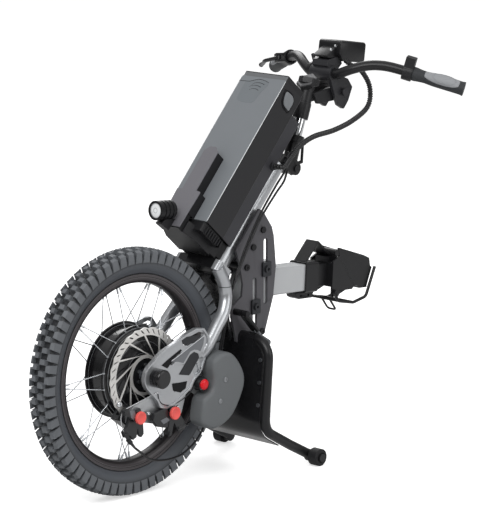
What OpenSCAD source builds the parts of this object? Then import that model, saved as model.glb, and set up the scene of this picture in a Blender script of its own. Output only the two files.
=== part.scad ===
// Clip-on power assist for a wheelchair: a driven front wheel on a rigid
// fork, its battery, handlebar and stand, and an arm that docks to the chair.
// Front of the object is -X, the docking arm points to +X, the floor is Z = 0.

/* [Wheel] */
// Outer diameter of the tyre
tyre_d = 526; // [480:1:560]
// Width of the tyre over its shoulder knobs
tyre_w = 58; // [54:1:62]
// Knobs round each row of the tread
knob_count = 72; // [48:2:84]
// Bead seat diameter of the rim
bead_d = 406; // [406:1:406]
// Width of the rim over its flanges
rim_w = 34; // [30:1:38]
// Depth of the rim, from bead seat to inner wall
rim_depth = 15; // [12:1:20]
// Spokes on each hub flange
spokes_per_side = 18; // [12:1:20]

/* [Hub motor and brake] */
// Diameter of the spoke flanges
flange_d = 206; // [180:1:230]
// Distance between the two spoke flanges
flange_gap = 46; // [40:1:52]
// Diameter of the motor axle
axle_d = 16; // [14:0.5:18]
// Outer diameter of the brake rotor
rotor_d = 203; // [180:1:220]
// Thickness of the brake rotor
rotor_t = 2; // [1.8:0.1:2.4]
// Middle of the rotor, measured from the wheel's middle plane
rotor_y = 48.5; // [46:0.5:52]

/* [Fork] */
// Slope of the steering axis above the floor
mast_angle = 48; // [44:0.5:52]
// Clear way between the tyre and the crown, along the steering axis
crown_gap = 31; // [24:1:60]
// Distance of the steering axis behind the axle
fork_rake = 72; // [60:1:84]
// Diameter of a fork leg
leg_d = 28; // [24:1:30]
// Clear width between the dropout plates
dropout_gap = 144; // [140:1:172]
// Thickness of a dropout plate
dropout_t = 8; // [6:1:10]
// Outer diameter of the steerer tube
steerer_d = 28.6; // [25.4:0.1:30]

/* [Battery] */
// Length of the battery case along the mast
bat_l = 366; // [300:1:420]
// Width of the battery case
bat_w = 130; // [110:1:150]
// Thickness of the battery case
bat_t = 69; // [60:1:80]
// Width of the rail behind the battery
rail_w = 80; // [70:1:84]
// Depth of the rail behind the battery
rail_t = 50; // [44:1:52]

/* [Frame] */
// Outer diameter of the head tube
head_d = 48; // [44:1:50]
// Length of the head tube
head_l = 276; // [240:1:300]
// Thickness of a side plate
plate_t = 6; // [5:0.5:8]
// Clear width between the side plates
plate_gap = 64; // [60:1:66]
// Width of the height slots in the side plates
slot_w = 12; // [10:0.5:14]

/* [Docking arm] */
// Height of the outer arm tube
arm_h = 60; // [54:1:64]
// Width of the outer arm tube
arm_w = 44; // [40:1:50]
// Wall of the outer arm tube
arm_wall = 4; // [3:0.5:5]
// Length of the outer arm tube behind its root
arm_l = 182; // [160:1:200]
// Downward slope of the arm
arm_slope = 3.5; // [0:0.5:6]
// Radius of the docking notch
dock_r = 12.7; // [11:0.1:14]

/* [Stand] */
// Outer diameter of the stand tube
stand_d = 22; // [20:1:25]
// Distance between the middles of the two legs
stand_w = 236; // [220:1:260]
// Diameter of a stand roller
roller_d = 38; // [34:1:44]
// Width of a stand roller
roller_w = 26; // [20:1:30]

/* [Handlebar] */
// Diameter of the handlebar tube
bar_d = 22.2; // [20:0.1:25.4]
// Length of a hand grip
grip_l = 118; // [100:1:124]
// Diameter of a hand grip
grip_d = 32; // [28:1:36]
// Outer diameter of the chrome inner post
post_d = 25.4; // [22.2:0.1:27]
// Lean of the handlebar post behind the upright
post_lean = 20; // [16:0.5:24]

/* [Fits] */
// Radial gap of a turning pin or shaft
run_gap = 0.05; // [0.03:0.01:0.1]
// Gap between faces that slide past each other
slide_gap = 0.4; // [0.3:0.1:0.8]

/* [Hidden] */
$fn = 64;

function unit(v) = v / norm(v);

wheel_r = tyre_d / 2;
crown_h = wheel_r + crown_gap;
// The frame and the handlebar are laid out for this wheel and crown, and move with the crown
laid_out_r = 263;
laid_out_h = 294;
frame_shift = [(crown_h - laid_out_h) * cos(mast_angle),
    wheel_r - laid_out_r + (crown_h - laid_out_h) * sin(mast_angle)];
// Half of the bar, from its middle out to the end of its tube
bar_at = [606, 832];
bar_line = [[bar_at[0], 0, bar_at[1]], [bar_at[0], 42, bar_at[1]], [618, 70, 844],
    [638, 101, 853], [657, 131, 853], [676, 162.5, 845.4], [696, 194, 835], [748, 276, 808]];
bar_end = bar_line[7];
grip_way = unit(bar_line[7] - bar_line[6]);
grip_over = 6;
// Rear end of the grips, from the axle: the origin lies midway between it and the tyre
rear_x = bar_end[0] + grip_over * grip_way[0]
    + max([for (q = [[0, 2], [2, 0]]) (grip_d / 2 - q[1]) * sqrt(1 - pow(grip_way[0], 2))
        - q[0] * grip_way[0]]);
axle_x = -(rear_x + frame_shift[0] - wheel_r) / 2;

// Crown centre, measured from the axle
crown = [
    crown_h * cos(mast_angle) + fork_rake * sin(mast_angle),
    crown_h * sin(mast_angle) - fork_rake * cos(mast_angle)
];

// Places along and behind the steering axis, from the crown
rail_back = -head_d / 2 - 4;
rail_front = rail_back - rail_t;
bat_back = rail_front - 4;
bat_front = bat_back - bat_t;
crown_drop = 17;
column_h = 22;
dock_h = 44;
bat_z = dock_h + slide_gap;
shield_x = bat_front - 26;
light_at = [bat_front - 79, 8];
light_r = 20.5;
light_l = 48;
head_z = 14;
head_top = head_z + head_l;

// Pivot of the handlebar post, in the steering frame
knuckle = [44, head_top + 20];
// Root of the docking arm, from the axle and above the floor
arm_root = [380, 394];
// Hinge of the stand, its strut pin on the frame and its clevis pin
stand_pin = [304, 294];
strut_pin = [281, 351];
clevis_pin = [346, 278];
strut_dir = unit(clevis_pin - strut_pin);
strut_y = [-plate_gap / 2 - plate_t - 18, -plate_gap / 2 - plate_t - 31];
// Pivot of the tilting bar clamp
tilt_pin = [634, 789];

// The frames of the parts

module world() translate([axle_x + frame_shift[0], 0, frame_shift[1]]) children();

module at_axle() translate([axle_x, 0, wheel_r]) children();

// Along the wheel axle: the child's Z runs to +Y, its Y runs down
module wheelwise() at_axle() rotate([-90, 0, 0]) children();

// Z up along the steering axis, X square behind it, origin at the crown
module mast() at_axle() translate([crown[0], 0, crown[1]])
    rotate([0, 90 - mast_angle, 0]) children();

// Z up along the handlebar post, origin at its pivot
module post() mast() translate([knuckle[0], 0, knuckle[1]])
    rotate([0, post_lean + mast_angle - 90, 0]) children();

// X back along the docking arm, origin at its root
module arm() world() translate([arm_root[0], 0, arm_root[1]])
    rotate([0, arm_slope, 0]) children();

module both_sides() {
    children();
    mirror([0, 1, 0]) children();
}

// Stands an outline of X and Z up and gives it a thickness from y to y + t
module slab(y, t) translate([0, y + t, 0]) rotate([90, 0, 0]) linear_extrude(t) children();

// A round bar between two points
module rod(p, q, r) {
    d = q - p;
    translate(p) rotate([0, acos(d[2] / norm(d)), atan2(d[1], d[0])])
        cylinder(h = norm(d), r = r);
}

// A round pin along Y through a place in X and Z
module pin_y(at, y0, y1, r) translate([at[0], y1, at[1]]) rotate([90, 0, 0])
    cylinder(h = y1 - y0, r = r);

// A block with rounded upright edges
module soft_block(size, r) linear_extrude(size[2])
    offset(r = r) square([size[0] - 2 * r, size[1] - 2 * r], center = true);

function arc(c, r, a0, a1, n = 8) = [for (i = [0:n])
    let (a = a0 + (a1 - a0) * i / n) [c[0] + r * cos(a), c[1] + r * sin(a)]];
function flip(points) = [for (i = [len(points) - 1:-1:0]) [points[i][0], -points[i][1]]];

// Rounds the corner q of the line p, q, s with an arc
function corner(p, q, s, r, n) =
    let (u = unit(q - p), v = unit(s - q), f = acos(max(-1, min(1, u * v))))
    f < 1 ? [q] :
    let (d = r * tan(f / 2), a = q - d * u, b = q + d * v,
        c = q + unit(v - u) * r / cos(f / 2))
    [for (i = [0:n]) let (t = i / n)
        c + (sin((1 - t) * f) * (a - c) + sin(t * f) * (b - c)) / sin(f)];
function rounded(p, r, n = 6) = [
    p[0],
    for (i = [1:len(p) - 2]) each corner(p[i - 1], p[i], p[i + 1], r, n),
    p[len(p) - 1]
];

// A smooth curve through the points p, with n steps between two of them
function smooth(p, n = 4) = [
    for (i = [0:len(p) - 2], k = [0:n - 1])
        let (t = k / n, a = p[max(i - 1, 0)], b = p[i], c = p[i + 1],
            d = p[min(i + 2, len(p) - 1)])
        b + t * (c - a) / 2 + t * t * (2 * a - 5 * b + 4 * c - d) / 2
            + t * t * t * (3 * b - a - 3 * c + d) / 2,
    p[len(p) - 1]
];

// A tube swept along a path, its rings turned as little as possible
function along(p, i) = unit(p[min(i + 1, len(p) - 1)] - p[max(i - 1, 0)]);
function ring_x(p, i = 0, last = [0, 0, 0], done = []) =
    i == len(p) ? done :
    let (t = along(p, i),
        m = i == 0 ? unit(cross(t, abs(t[1]) < 0.9 ? [0, 1, 0] : [1, 0, 0]))
            : unit(last - (last * t) * t))
    ring_x(p, i + 1, m, concat(done, [m]));
module tube(p, r, sides = 16) {
    x = ring_x(p);
    rings = [for (i = [0:len(p) - 1], k = [0:sides - 1])
        let (y = cross(along(p, i), x[i]), a = 360 * k / sides,
            ri = is_list(r) ? r[i] : r)
        p[i] + ri * (cos(a) * x[i] + sin(a) * y)];
    last = (len(p) - 1) * sides;
    sides_of = [for (i = [0:len(p) - 2], k = [0:sides - 1])
        let (a = i * sides + k, b = i * sides + (k + 1) % sides)
        [a, a + sides, b + sides, b]];
    polyhedron(rings, concat([[for (k = [0:sides - 1]) k]], sides_of,
        [[for (k = [sides - 1:-1:0]) last + k]]), convexity = 8);
}

// Wheel

carcass_r = 28.5;
carcass_c = wheel_r - 32;
bead_r = bead_d / 2;
crown_band = wheel_r - 9;
shoulder_band = wheel_r - 14;

// Toothed outline of one row of tread knobs
function knobs(n, root, tip, share, turn) = [
    for (i = [0:n - 1]) let (s = 360 / n, a = (i + turn) * s, w = s * share)
        each [
            [root * cos(a - w / 2), root * sin(a - w / 2)],
            [tip * cos(a - w * 0.43), tip * sin(a - w * 0.43)],
            [tip * cos(a + w * 0.43), tip * sin(a + w * 0.43)],
            [root * cos(a + w / 2), root * sin(a + w / 2)]
        ]
];

module knob_row(y, w, bore, root, tip, share, turn) translate([0, 0, y])
    linear_extrude(w) difference() {
        polygon(knobs(knob_count, root, tip, share, turn));
        circle(r = bore, $fn = 180);
    }

module tyre() color("#4a4c50") wheelwise() {
    seat = bead_r + 0.2;
    lip = rim_w / 2 - 2.2;
    half = tyre_w / 2;
    outer = concat(
        [[seat, 9], [seat, lip], [bead_r + 6.4, lip], [bead_r + 6.6, rim_w / 2 + 0.3]],
        arc([carcass_c, 0], carcass_r, 137, 76, 6),
        [[shoulder_band, half - 0.8], [shoulder_band, 15.2], [crown_band, 15.2]]
    );
    inner = arc([carcass_c - 3, 0], carcass_r - 5, -137, 137, 14);
    rotate_extrude($fn = 180) polygon(concat(outer, flip(outer), inner));
    for (side = [0, 1]) mirror([0, 0, side]) {
        knob_row(1, 13.5, crown_band, crown_band + 2, wheel_r, 0.6, side / 2);
        knob_row(15.8, half - 15.8, shoulder_band, shoulder_band + 2,
            wheel_r - 4, 0.55, (1 + side) / 2);
    }
}

module rim() color("#1c1c1e") wheelwise() rotate_extrude($fn = 180) {
    flange = bead_r + 6;
    half = rim_w / 2;
    wall = bead_r - rim_depth;
    top = [[flange, half], [flange, half - 2], [bead_r, half - 2], [bead_r - 2, half - 4],
        [bead_r - 6, half - 11]];
    bottom = [[wall, half - 11], [wall + 2, half - 5], [bead_r - 6, half - 0.8], [bead_r, half]];
    polygon(concat(top, flip(top), flip(bottom), bottom));
}

flange_z = flange_gap / 2;
flange_half = 2;

module spokes() color("#b9bcc0") wheelwise() {
    hole_r = flange_d / 2 - 3;
    nipple_r = bead_r - rim_depth - 0.8;
    step = 360 / spokes_per_side;
    for (side = [0, 1]) mirror([0, 0, side]) for (i = [0:spokes_per_side - 1]) {
        a = (i + side / 2) * step;
        lead = i % 2 == 0 ? 9 : -9;
        start = [hole_r * cos(a), hole_r * sin(a), flange_z + flange_half + 2.4];
        end = [nipple_r * cos(a + lead), nipple_r * sin(a + lead), 4];
        way = unit(end - start);
        rod(start, end, 1);
        rod(end - 12 * way, end, 2.2);
        rod(start - [0, 0, 2.2], start + [0, 0, 1.4], 2.2);
    }
}

module hub_shell() color("#1b1b1d") wheelwise() rotate_extrude($fn = 120) {
    f = flange_d / 2;
    bore = axle_d / 2 + 8;
    z = flange_z + flange_half;
    boss = rotor_y - rotor_t / 2;
    polygon([
        [bore, 45], [24, 45], [26, 42], [45, 41], [70, 37], [90, 30], [f - 6, z + 0.6],
        [f - 6, z], [f, z], [f, z - 4], [f - 10, z - 5],
        [f - 10, 5 - z], [f, 4 - z], [f, -z], [f - 6, -z], [f - 6, -z - 0.6], [90, -30],
        [70, -37], [45, -41], [31, -42], [31, -boss], [bore, -boss],
        [bore, -34], [60, -31], [f - 20, -22], [f - 20, 22], [60, 31], [bore, 34]
    ]);
}

module hub_bearings() color("silver") wheelwise() for (z = [-43, 34.5])
    translate([0, 0, z]) difference() {
        cylinder(h = 8, r = axle_d / 2 + 8);
        translate([0, 0, -1]) cylinder(h = 10, r = axle_d / 2 + run_gap);
    }

// Wavy brake band with swept arms and slanted slots
module rotor() color("#c9cbcd") wheelwise() translate([0, 0, -rotor_y - rotor_t / 2]) {
    r = rotor_d / 2;
    waves = 12;
    band = [for (a = [0:2:358]) [(r - 1.2 + 1.2 * cos(waves * a)) * cos(a),
        (r - 1.2 + 1.2 * cos(waves * a)) * sin(a)]];
    hollow = [for (a = [0:2:358]) [(r - 16 + 1.5 * cos(waves * a)) * cos(a),
        (r - 16 + 1.5 * cos(waves * a)) * sin(a)]];
    linear_extrude(rotor_t) difference() {
        union() {
            difference() {
                polygon(band);
                polygon(hollow);
            }
            for (i = [0:waves - 1]) rotate(i * 360 / waves) polygon([
                [26, -3], [50, -11], [68, -12], [r - 13, -4], [r - 13, 1.5],
                [68, -7], [50, -5.5], [26, 3.5]
            ]);
            circle(r = 30);
        }
        circle(r = axle_d / 2 + 9);
        for (i = [0:5]) rotate(i * 60 + 30) translate([22, 0]) circle(r = 2.6);
        for (i = [0:3 * waves - 1]) rotate(i * 120 / waves) translate([r - 8, 0])
            rotate(35) square([9, 2.6], center = true);
    }
}

module rotor_bolts() color("silver") wheelwise() for (i = [0:5]) rotate(i * 60 + 30)
    translate([22, 0, -rotor_y - rotor_t / 2 - 2.6]) cylinder(h = 2.6, r = 4);

// Axle, caps and stator

module motor_axle() color("#77797c") wheelwise() {
    half = dropout_gap / 2 + dropout_t;
    translate([0, 0, -half - 14]) cylinder(h = 2 * half + 28, r = axle_d / 2);
    difference() {
        translate([0, 0, -19]) cylinder(h = 38, r = flange_d / 2 - 26, $fn = 96);
        for (i = [0:17]) rotate(i * 20) translate([flange_d / 2 - 40, -2, -20])
            cube([20, 4, 40]);
    }
    for (s = [-1, 1]) translate([0, 0, s * (dropout_gap / 2 - 6.2) - 6])
        cylinder(h = 12, r = axle_d / 2 + 4);
}

module axle_caps() color("#202022") wheelwise() for (side = [0, 1]) mirror([0, 0, side])
    translate([0, 0, dropout_gap / 2 + dropout_t + 0.2]) difference() {
        rotate_extrude() polygon([[0, 0], [20, 0], [20, 23], [19, 25.5], [16.5, 27], [0, 27]]);
        translate([0, 0, -1]) cylinder(h = 15.5, r = axle_d / 2 + 0.3);
    }

// Fork

leg_top_y = wheel_r - carcass_c + leg_d - 3;
leg_foot_y = dropout_gap / 2 + dropout_t / 2 - 3;
// Places of a leg, behind and above the crown or the axle
leg_line = smooth([
    [crown[0] - 42, leg_top_y, crown[1] + 27],
    [crown[0] - 27, leg_top_y + 3, crown[1] - 4],
    [crown[0] - 22, leg_top_y + 5, crown[1] - 36],
    [crown[0] - 35, leg_foot_y - 5, crown[1] - 68],
    [190, leg_foot_y - 2, 74],
    [163, leg_foot_y, 43],
    [140, leg_foot_y, 18]
], 4);
leg_radii = [for (i = [0:len(leg_line) - 1])
    leg_d / 2 * (i > len(leg_line) - 5 ? [0.97, 0.9, 0.78, 0.6][i + 4 - len(leg_line)] : 1)];

// Pierced plate between a leg and the axle
dropout = concat(
    arc([0, 0], 34, -125, -238, 8),
    [[19, 53], [54, 64], [90, 78], [118, 85], [142, 82], [158, 60], [156, 34], [146, 14],
    [136, -8], [114, -26], [102, -42], [73, -58], [50, -68], [28, -73], [10, -66], [2, -50]]
);
windows = [
    [[82, 54], [84, 66], [128, 76], [144, 71], [140, 64], [96, 51]],
    [[42, 20], [50, 31], [74, 41], [76, 36], [50, 17]],
    [[49, -21], [92, -27], [86, -41], [54, -40]]
];

module fork() color("#b4b6b8") {
    at_axle() both_sides() {
        difference() {
            union() {
                tube([for (p = leg_line) [p[0], -p[1], p[2]]], leg_radii, 20);
                slab(-dropout_gap / 2 - dropout_t, dropout_t) polygon(dropout);
                slab(-dropout_gap / 2 - dropout_t - 3, 3) difference() {
                    polygon(dropout);
                    offset(delta = -5) polygon(dropout);
                }
            }
            for (w = windows) slab(-dropout_gap / 2 - dropout_t - 5, dropout_t + 30) polygon(w);
            pin_y([0, 0], -dropout_gap / 2 - 20, -dropout_gap / 2 + 20, axle_d / 2 + 0.05);
            slab(-dropout_gap / 2 - dropout_t - 4, 7) translate([117, 2]) rotate(-68)
                offset(r = 4) square([26, 8], center = true);
        }
    }
    mast() {
        difference() {
            translate([0, 0, -crown_drop]) linear_extrude(24) offset(r = 8) polygon([
                [14, -14], [14, 14], [-20, leg_top_y], [-52, leg_top_y], [-60, 20],
                [-60, -20], [-52, -leg_top_y], [-20, -leg_top_y]
            ]);
            translate([0, 0, -20]) cylinder(h = 40, r = steerer_d / 2);
        }
        difference() {
            translate([0, 0, -crown_drop]) cylinder(h = head_top + column_h + 2 + crown_drop,
                r = steerer_d / 2);
            translate([0, 0, -20]) cylinder(h = head_top + 60, r = steerer_d / 2 - 3);
        }
    }
}

// Guard behind the tyre, held by two lugs under the crown
module mudguard() color("#1d1d1f") difference() {
    wheelwise() {
        r = wheel_r + 13;
        rotate([0, 0, -40]) rotate_extrude(angle = 34, $fn = 120)
            polygon([[r, -33], [r - 8, -36], [r - 8, -38], [r + 3, -34], [r + 3, 34],
                [r - 8, 38], [r - 8, 36], [r, 33]]);
        for (y = [-20, 20]) rotate([0, 0, -36]) translate([r + 2.5, -4, y - 6])
            cube([9, 8, 12]);
    }
    mast() translate([-90, -60, -crown_drop]) cube([120, 120, 60]);
}

// Ballast

ballast_at = [114, 0];
ballast_y = dropout_gap / 2 - 6;
ballast_t = 39;
kidney = [
    [152, 12], [165, 21], [184, 25], [207, 19], [228, -2], [243, -30], [243, -58], [226, -92],
    [207, -116], [182, -130], [152, -136], [126, -127], [114, -113], [117, -82], [124, -64],
    [143, -54], [150, -44], [152, -28], [149, -5]
];
ballast_screws = [[183, -33], [167, -77]];
button_at = [130, -36];

module ballast_weights() color("#6f7274") at_axle() both_sides() {
    difference() {
        union() {
            slab(-ballast_y - ballast_t + 4, ballast_t - 4) polygon(kidney);
            slab(-ballast_y - ballast_t, 4) offset(r = -3) polygon(kidney);
        }
        for (p = ballast_screws) {
            pin_y(p, -ballast_y - ballast_t - 1, -ballast_y - ballast_t + 8, 6);
            pin_y(p, -ballast_y - ballast_t - 1, -ballast_y + 1, 3.2);
        }
    }
}

// Bracket that carries the ballast, the calipers and the button barrels
bracket_y = -ballast_y;
bracket_t = 5;
module brake_bracket() color("#a9abad") at_axle() {
    both_sides() {
        difference() {
            slab(bracket_y, bracket_t) polygon([[92, -8], [128, -10], [152, -8], [186, 8],
                [206, -40], [186, -100], [160, -104], [128, -60], [96, -40]]);
            for (p = ballast_screws) pin_y(p, bracket_y - 1, bracket_y + 9, 2.9);
        }
        for (p = [[103, -22], [121, -4]]) pin_y(p, -dropout_gap / 2, bracket_y, 6);
        difference() {
            pin_y(button_at, -ballast_y - 24, bracket_y, 12);
            pin_y(button_at, -ballast_y - 25, bracket_y - 1, 9.2);
        }
        for (p = ballast_screws) {
            pin_y(p, -ballast_y - ballast_t + 3, bracket_y + bracket_t, 2.8);
            pin_y(p, -ballast_y - ballast_t + 3, -ballast_y - ballast_t + 7, 5.6);
        }
    }
    difference() {
        slab(bracket_y - 5.5, 5.5) polygon([[92, -18], [100, -46], [84, -92], [66, -104],
            [36, -104], [16, -92], [0, -100], [-30, -92], [-62, -98], [-76, -84], [-74, -64],
            [-54, -52], [6, -38], [60, -8]]);
        slab(bracket_y - 7, 9) polygon([[62, -34], [50, -58], [76, -66], [84, -46]]);
        for (i = [0, 1]) knob_axis(i, bracket_y - 8, bracket_y + 2, knob_r + 0.3);
    }
}

module ballast_button(side) color("#d0101c") at_axle() mirror([0, side, 0]) {
    pin_y(button_at, -ballast_y - 30, -ballast_y - 8, 9.2 - slide_gap / 2);
}
module ballast_button_left() ballast_button(0);
module ballast_button_right() ballast_button(1);

// Brakes

// Angle of each caliper round the axle, and the reach of its middle
caliper_turns = [-128, -62];
caliper_r = rotor_d / 2 - 9;
// Way that each pull arm points from its pivot
pull_ways = [154, -106];
pull_reach = 44;
knob_r = 8;
arm_y = -dropout_gap / 2 - dropout_t - 4;

module at_caliper(i) translate([caliper_r * cos(caliper_turns[i]), 0,
    caliper_r * sin(caliper_turns[i])]) rotate([0, -caliper_turns[i], 0]) children();

// Round shape along the adjuster of a caliper
module knob_axis(i, y0, y1, r) at_caliper(i) pin_y([0, 0], y0, y1, r);
// Arms beside the bracket that hold the end of each cable housing, and their barrels
stop_y = bracket_y - 5.5;
stop_t = 8;
stop_arms = [
    [[-70, -62], [-46, -58], [-40, -68], [-38, -84], [-36, -113], [-42, -118], [-48, -112],
        [-50, -98], [-54, -98], [-57, -116], [-65, -119], [-73, -108], [-88, -110], [-92, -100],
        [-80, -90]],
    [[36, -90], [44, -68], [60, -76], [84, -110], [84, -126], [68, -127], [56, -106]]
];
barrels = [[[-89, -102], [-78, -116]], [[66, -120.5], [88, -118.4]]];
barrel_y = stop_y - 6.5;

module caliper_body() difference() {
    union() {
        translate([-16, bracket_y, -21]) cube([40, -bracket_y - rotor_y + 12.5, 42]);
        translate([14, bracket_y + 6, -26]) cube([8, 14, 52]);
    }
    translate([-20, -rotor_y - 4.4, -24]) cube([33, 8.8, 48]);
    for (z = [-22, 13]) translate([-17, bracket_y - 1, z]) cube([9, 14, 9]);
    pin_y([0, 0], bracket_y - 1, bracket_y + 6, knob_r + 0.3);
}

module calipers() color("#232427") at_axle() for (i = [0, 1]) {
    at_caliper(i) {
        caliper_body();
        for (y = [-rotor_y - 4.3, -rotor_y + 1.3]) translate([-12, y, -13])
            cube([22, 3, 26]);
    }
    b = barrels[i];
    difference() {
        slab(stop_y - stop_t, stop_t) offset(r = 1.5) polygon(stop_arms[i]);
        slab(stop_y - stop_t - 1, stop_t + 2) offset(delta = 1) polygon(dropout);
        knob_axis(i, stop_y - stop_t - 1, stop_y + 1, knob_r + 0.3);
    }
    rod([b[0][0], barrel_y, b[0][1]], [b[1][0], barrel_y, b[1][1]], 4.2);
}

module caliper_knobs() color("#e2574f") at_axle() for (i = [0, 1]) {
    knob_axis(i, arm_y - 5.2, bracket_y + 5.8, knob_r);
    difference() {
        knob_axis(i, arm_y - 13, arm_y - 5.1, 12);
        at_caliper(i) for (a = [0:36:324]) rotate([0, a, 0])
            pin_y([13.4, 0], arm_y - 14, arm_y - 6.5, 2.6);
    }
}

module pull_arm(i) at_axle() at_caliper(i) rotate([0, caliper_turns[i] - pull_ways[i], 0])
    difference() {
        union() {
            slab(arm_y - 4.9, 4.9) offset(r = 2) polygon([[-9, -5], [-9, 5], [-2, 9], [6, 9],
                [24, 5], [pull_reach, 5], [pull_reach + 5, 0], [pull_reach, -5], [24, -5],
                [6, -9], [-2, -9]]);
            pin_y([pull_reach, 0], arm_y - 8, arm_y + 4, 4.5);
        }
        pin_y([0, 0], arm_y - 20, arm_y + 20, knob_r + run_gap);
    }
module pull_arm_front() color("#2b2c2f") pull_arm(0);
module pull_arm_rear() color("#2b2c2f") pull_arm(1);

// Battery rail, dock and battery

module battery_rail() color("#46474a") mast() {
    pin_y([-38, 262], -rail_w / 2 - 6, -rail_w / 2 + 2, 9);
    difference() {
    translate([0, 0, dock_h + 12]) linear_extrude(bat_l - 42) difference() {
        translate([(rail_front + rail_back) / 2, 0]) offset(r = 3)
            square([rail_t - 6, rail_w - 6], center = true);
        translate([rail_front + rail_t / 2, 0]) square([rail_t - 8, rail_w - 8], center = true);
        for (y = [-1, 1]) translate([rail_front, y * (rail_w / 2 - 12)])
            square([6, 8], center = true);
    }
    translate([rail_back + 20, -rail_w, bat_l - 40]) rotate([0, -12, 0])
        translate([-10, 0, 0]) cube([60, 2 * rail_w, 120]);
    }
}

// Receptacle under the battery: floor tray, ribbed sides and the shield's core
module battery_dock() color("#252527") mast() {
    front = bat_front - 12;
    difference() {
        union() {
            translate([0, 0, 4]) linear_extrude(dock_h - 16) polygon([
                [front, -30], [front, 30], [bat_front + 20, 44], [rail_front + 20, 44],
                [rail_front + 20, -44], [bat_front + 20, -44]
            ]);
            translate([(bat_front + bat_back) / 2, 0, dock_h - 22])
                soft_block([bat_t - 6, bat_w - 10, 22], 5);
            translate([rail_front + 6, -32, dock_h - 24]) cube([rail_t - 8, 64, 36]);
            for (i = [0:7]) translate([bat_front + 14 + 8 * i, -bat_w / 2 + 2, dock_h - 20])
                cube([3, bat_w - 4, 16]);
        }
        translate([bat_front + 12, -36, dock_h - 8]) cube([bat_t - 24, 72, 10]);
        translate([-78, -100, -1]) cube([60, 200, 9.4]);
    }
    for (y = [-24, 0, 24]) translate([bat_front + 26, y - 5, dock_h - 8.1]) cube([16, 10, 7]);
    for (p = [[dock_h, 53, 28], [dock_h + 52.9, 100, 17]]) translate([shield_x, -p[2], p[0]])
        cube([bat_front - slide_gap - shield_x, 2 * p[2], p[1]]);
    translate([shield_x, -26, 4]) cube([16, 52, dock_h - 3.9]);
    difference() {
        slab(-9, 18) polygon([[shield_x - 3, -8], [light_at[0] + 22, -10],
            [light_at[0] + 30, 18], [shield_x - 3, 22]]);
        light() cylinder(h = 60, r = light_r + 0.2);
    }
}

// Stepped plate on the front of the dock
module dock_shield() color("#747378") mast() translate([shield_x - 3, 0, 0])
    rotate([0, 90, 0]) linear_extrude(3) offset(r = 1.5) offset(delta = -1.5)
    polygon([[-6, 30], [-95, 34], [-97, 20], [-196, 20], [-208, 8],
        [-208, -8], [-196, -20], [-97, -20], [-95, -34], [-6, -30]]);

// Z runs back along the headlight from its lens
module light() translate([light_at[0], 0, light_at[1]])
    rotate([0, mast_angle - 90 + 95, 0]) children();

// Ribbed barrel of the headlight
module headlight_body() color("#1e1e20") mast() light() difference() {
    union() {
        translate([0, 0, -4]) cylinder(h = light_l - 1, r = light_r - 1.5);
        for (z = [11, 22, 33]) translate([0, 0, z]) cylinder(h = 7.5, r = light_r);
        translate([0, 0, -4]) cylinder(h = 12, r = light_r);
        translate([0, 0, light_l - 5.1]) cylinder(h = 4, r1 = light_r - 1.6, r2 = light_r - 6);
    }
    translate([0, 0, -5]) cylinder(h = 10, r = light_r - 4.3);
}
module headlight_lens() color("#e8eef2") mast() light()
    rotate_extrude() polygon([[0, -3.6], [9, -3], [light_r - 4.5, -1.5], [light_r - 4.5, 4.8],
        [0, 4.8]]);

module battery_case() color("#63676a") mast() translate([0, 0, bat_z]) difference() {
    linear_extrude(bat_l) translate([(bat_front + bat_back) / 2, 0])
        offset(r = 4) square([bat_t - 8, bat_w - 8], center = true);
    for (y = [-24, 0, 24]) translate([bat_front + 25.5, y - 5.5, -1]) cube([17, 11, 8]);
    for (s = [-1, 1]) translate([bat_front + 2, s * bat_w / 2, -1]) rotate([0, 0, 45])
        translate([-1, -1, 0]) cube([2, 2, bat_l + 2]);
    translate([bat_front - 1, -6, bat_l - 62]) cube([4, 40, 3]);
    translate([bat_front - 1, -2, bat_l - 50]) cube([4, 40, 3]);
    translate([bat_front - 1, 2, bat_l - 38]) cube([4, 40, 3]);
    translate([bat_back - 33, -bat_w / 2 - 1, bat_l - 30]) rotate([-90, 0, 0])
        cylinder(h = 13, r = 2 + run_gap);
}

module battery_cap() color("#2c2d2f") mast() translate([0, 0, bat_z + bat_l]) difference() {
    translate([(bat_front + bat_back) / 2, 0]) soft_block([bat_t - 2, bat_w - 2, 13], 5);
    translate([bat_front + 18, -40, 4]) cube([30, 80, 10]);
    translate([bat_front - 2, -bat_w, 13]) rotate([0, 30, 0]) translate([-20, 0, 0])
        cube([20, 2 * bat_w, 30]);
}

module lock_cover() color("#a2a5a8") mast() translate([bat_back - 33, 0, bat_z + bat_l - 30]) {
    slab(-bat_w / 2 - 4.4, 4) offset(r = 10) polygon([[-2, 2], [2, 2], [4, -24], [-4, -24]]);
    pin_y([0, 0], -bat_w / 2 - 0.5, -bat_w / 2 + 10, 2);
}

// Frame

plate_y = plate_gap / 2;
// Front edge of the plates, in the steering frame, and their outline behind
plate_front = -8;
crown_given = crown - (crown_h - laid_out_h) * [cos(mast_angle), sin(mast_angle)];
function from_mast(x, z) = [
    crown_given[0] + z * cos(mast_angle) + x * sin(mast_angle),
    laid_out_r + crown_given[1] + z * sin(mast_angle) - x * cos(mast_angle)
];
plate_line = concat(
    [from_mast(plate_front, 62), from_mast(plate_front, 170)],
    [[372, 556], [398, 520], [404, 500], [411, 432], [402, 364], [377, 294], [362, 278],
    [298, 276], [286, 284], [272, 340], [272, 358], [290, 372], [304, 380], [307, 406],
    [297, 452]]
);
slots = [[378, 352, 497], [344, 306, 415]];
plate_holes = [from_mast(32, 96), from_mast(32, 142), [318, 442], [366, 294]];

module head_tube() color("#b9bbbd") mast() translate([0, 0, head_z]) difference() {
    cylinder(h = head_l, r = head_d / 2, $fn = 96);
    translate([0, 0, -1]) cylinder(h = head_l + 2, r = head_d / 2 - 3, $fn = 96);
}

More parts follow.
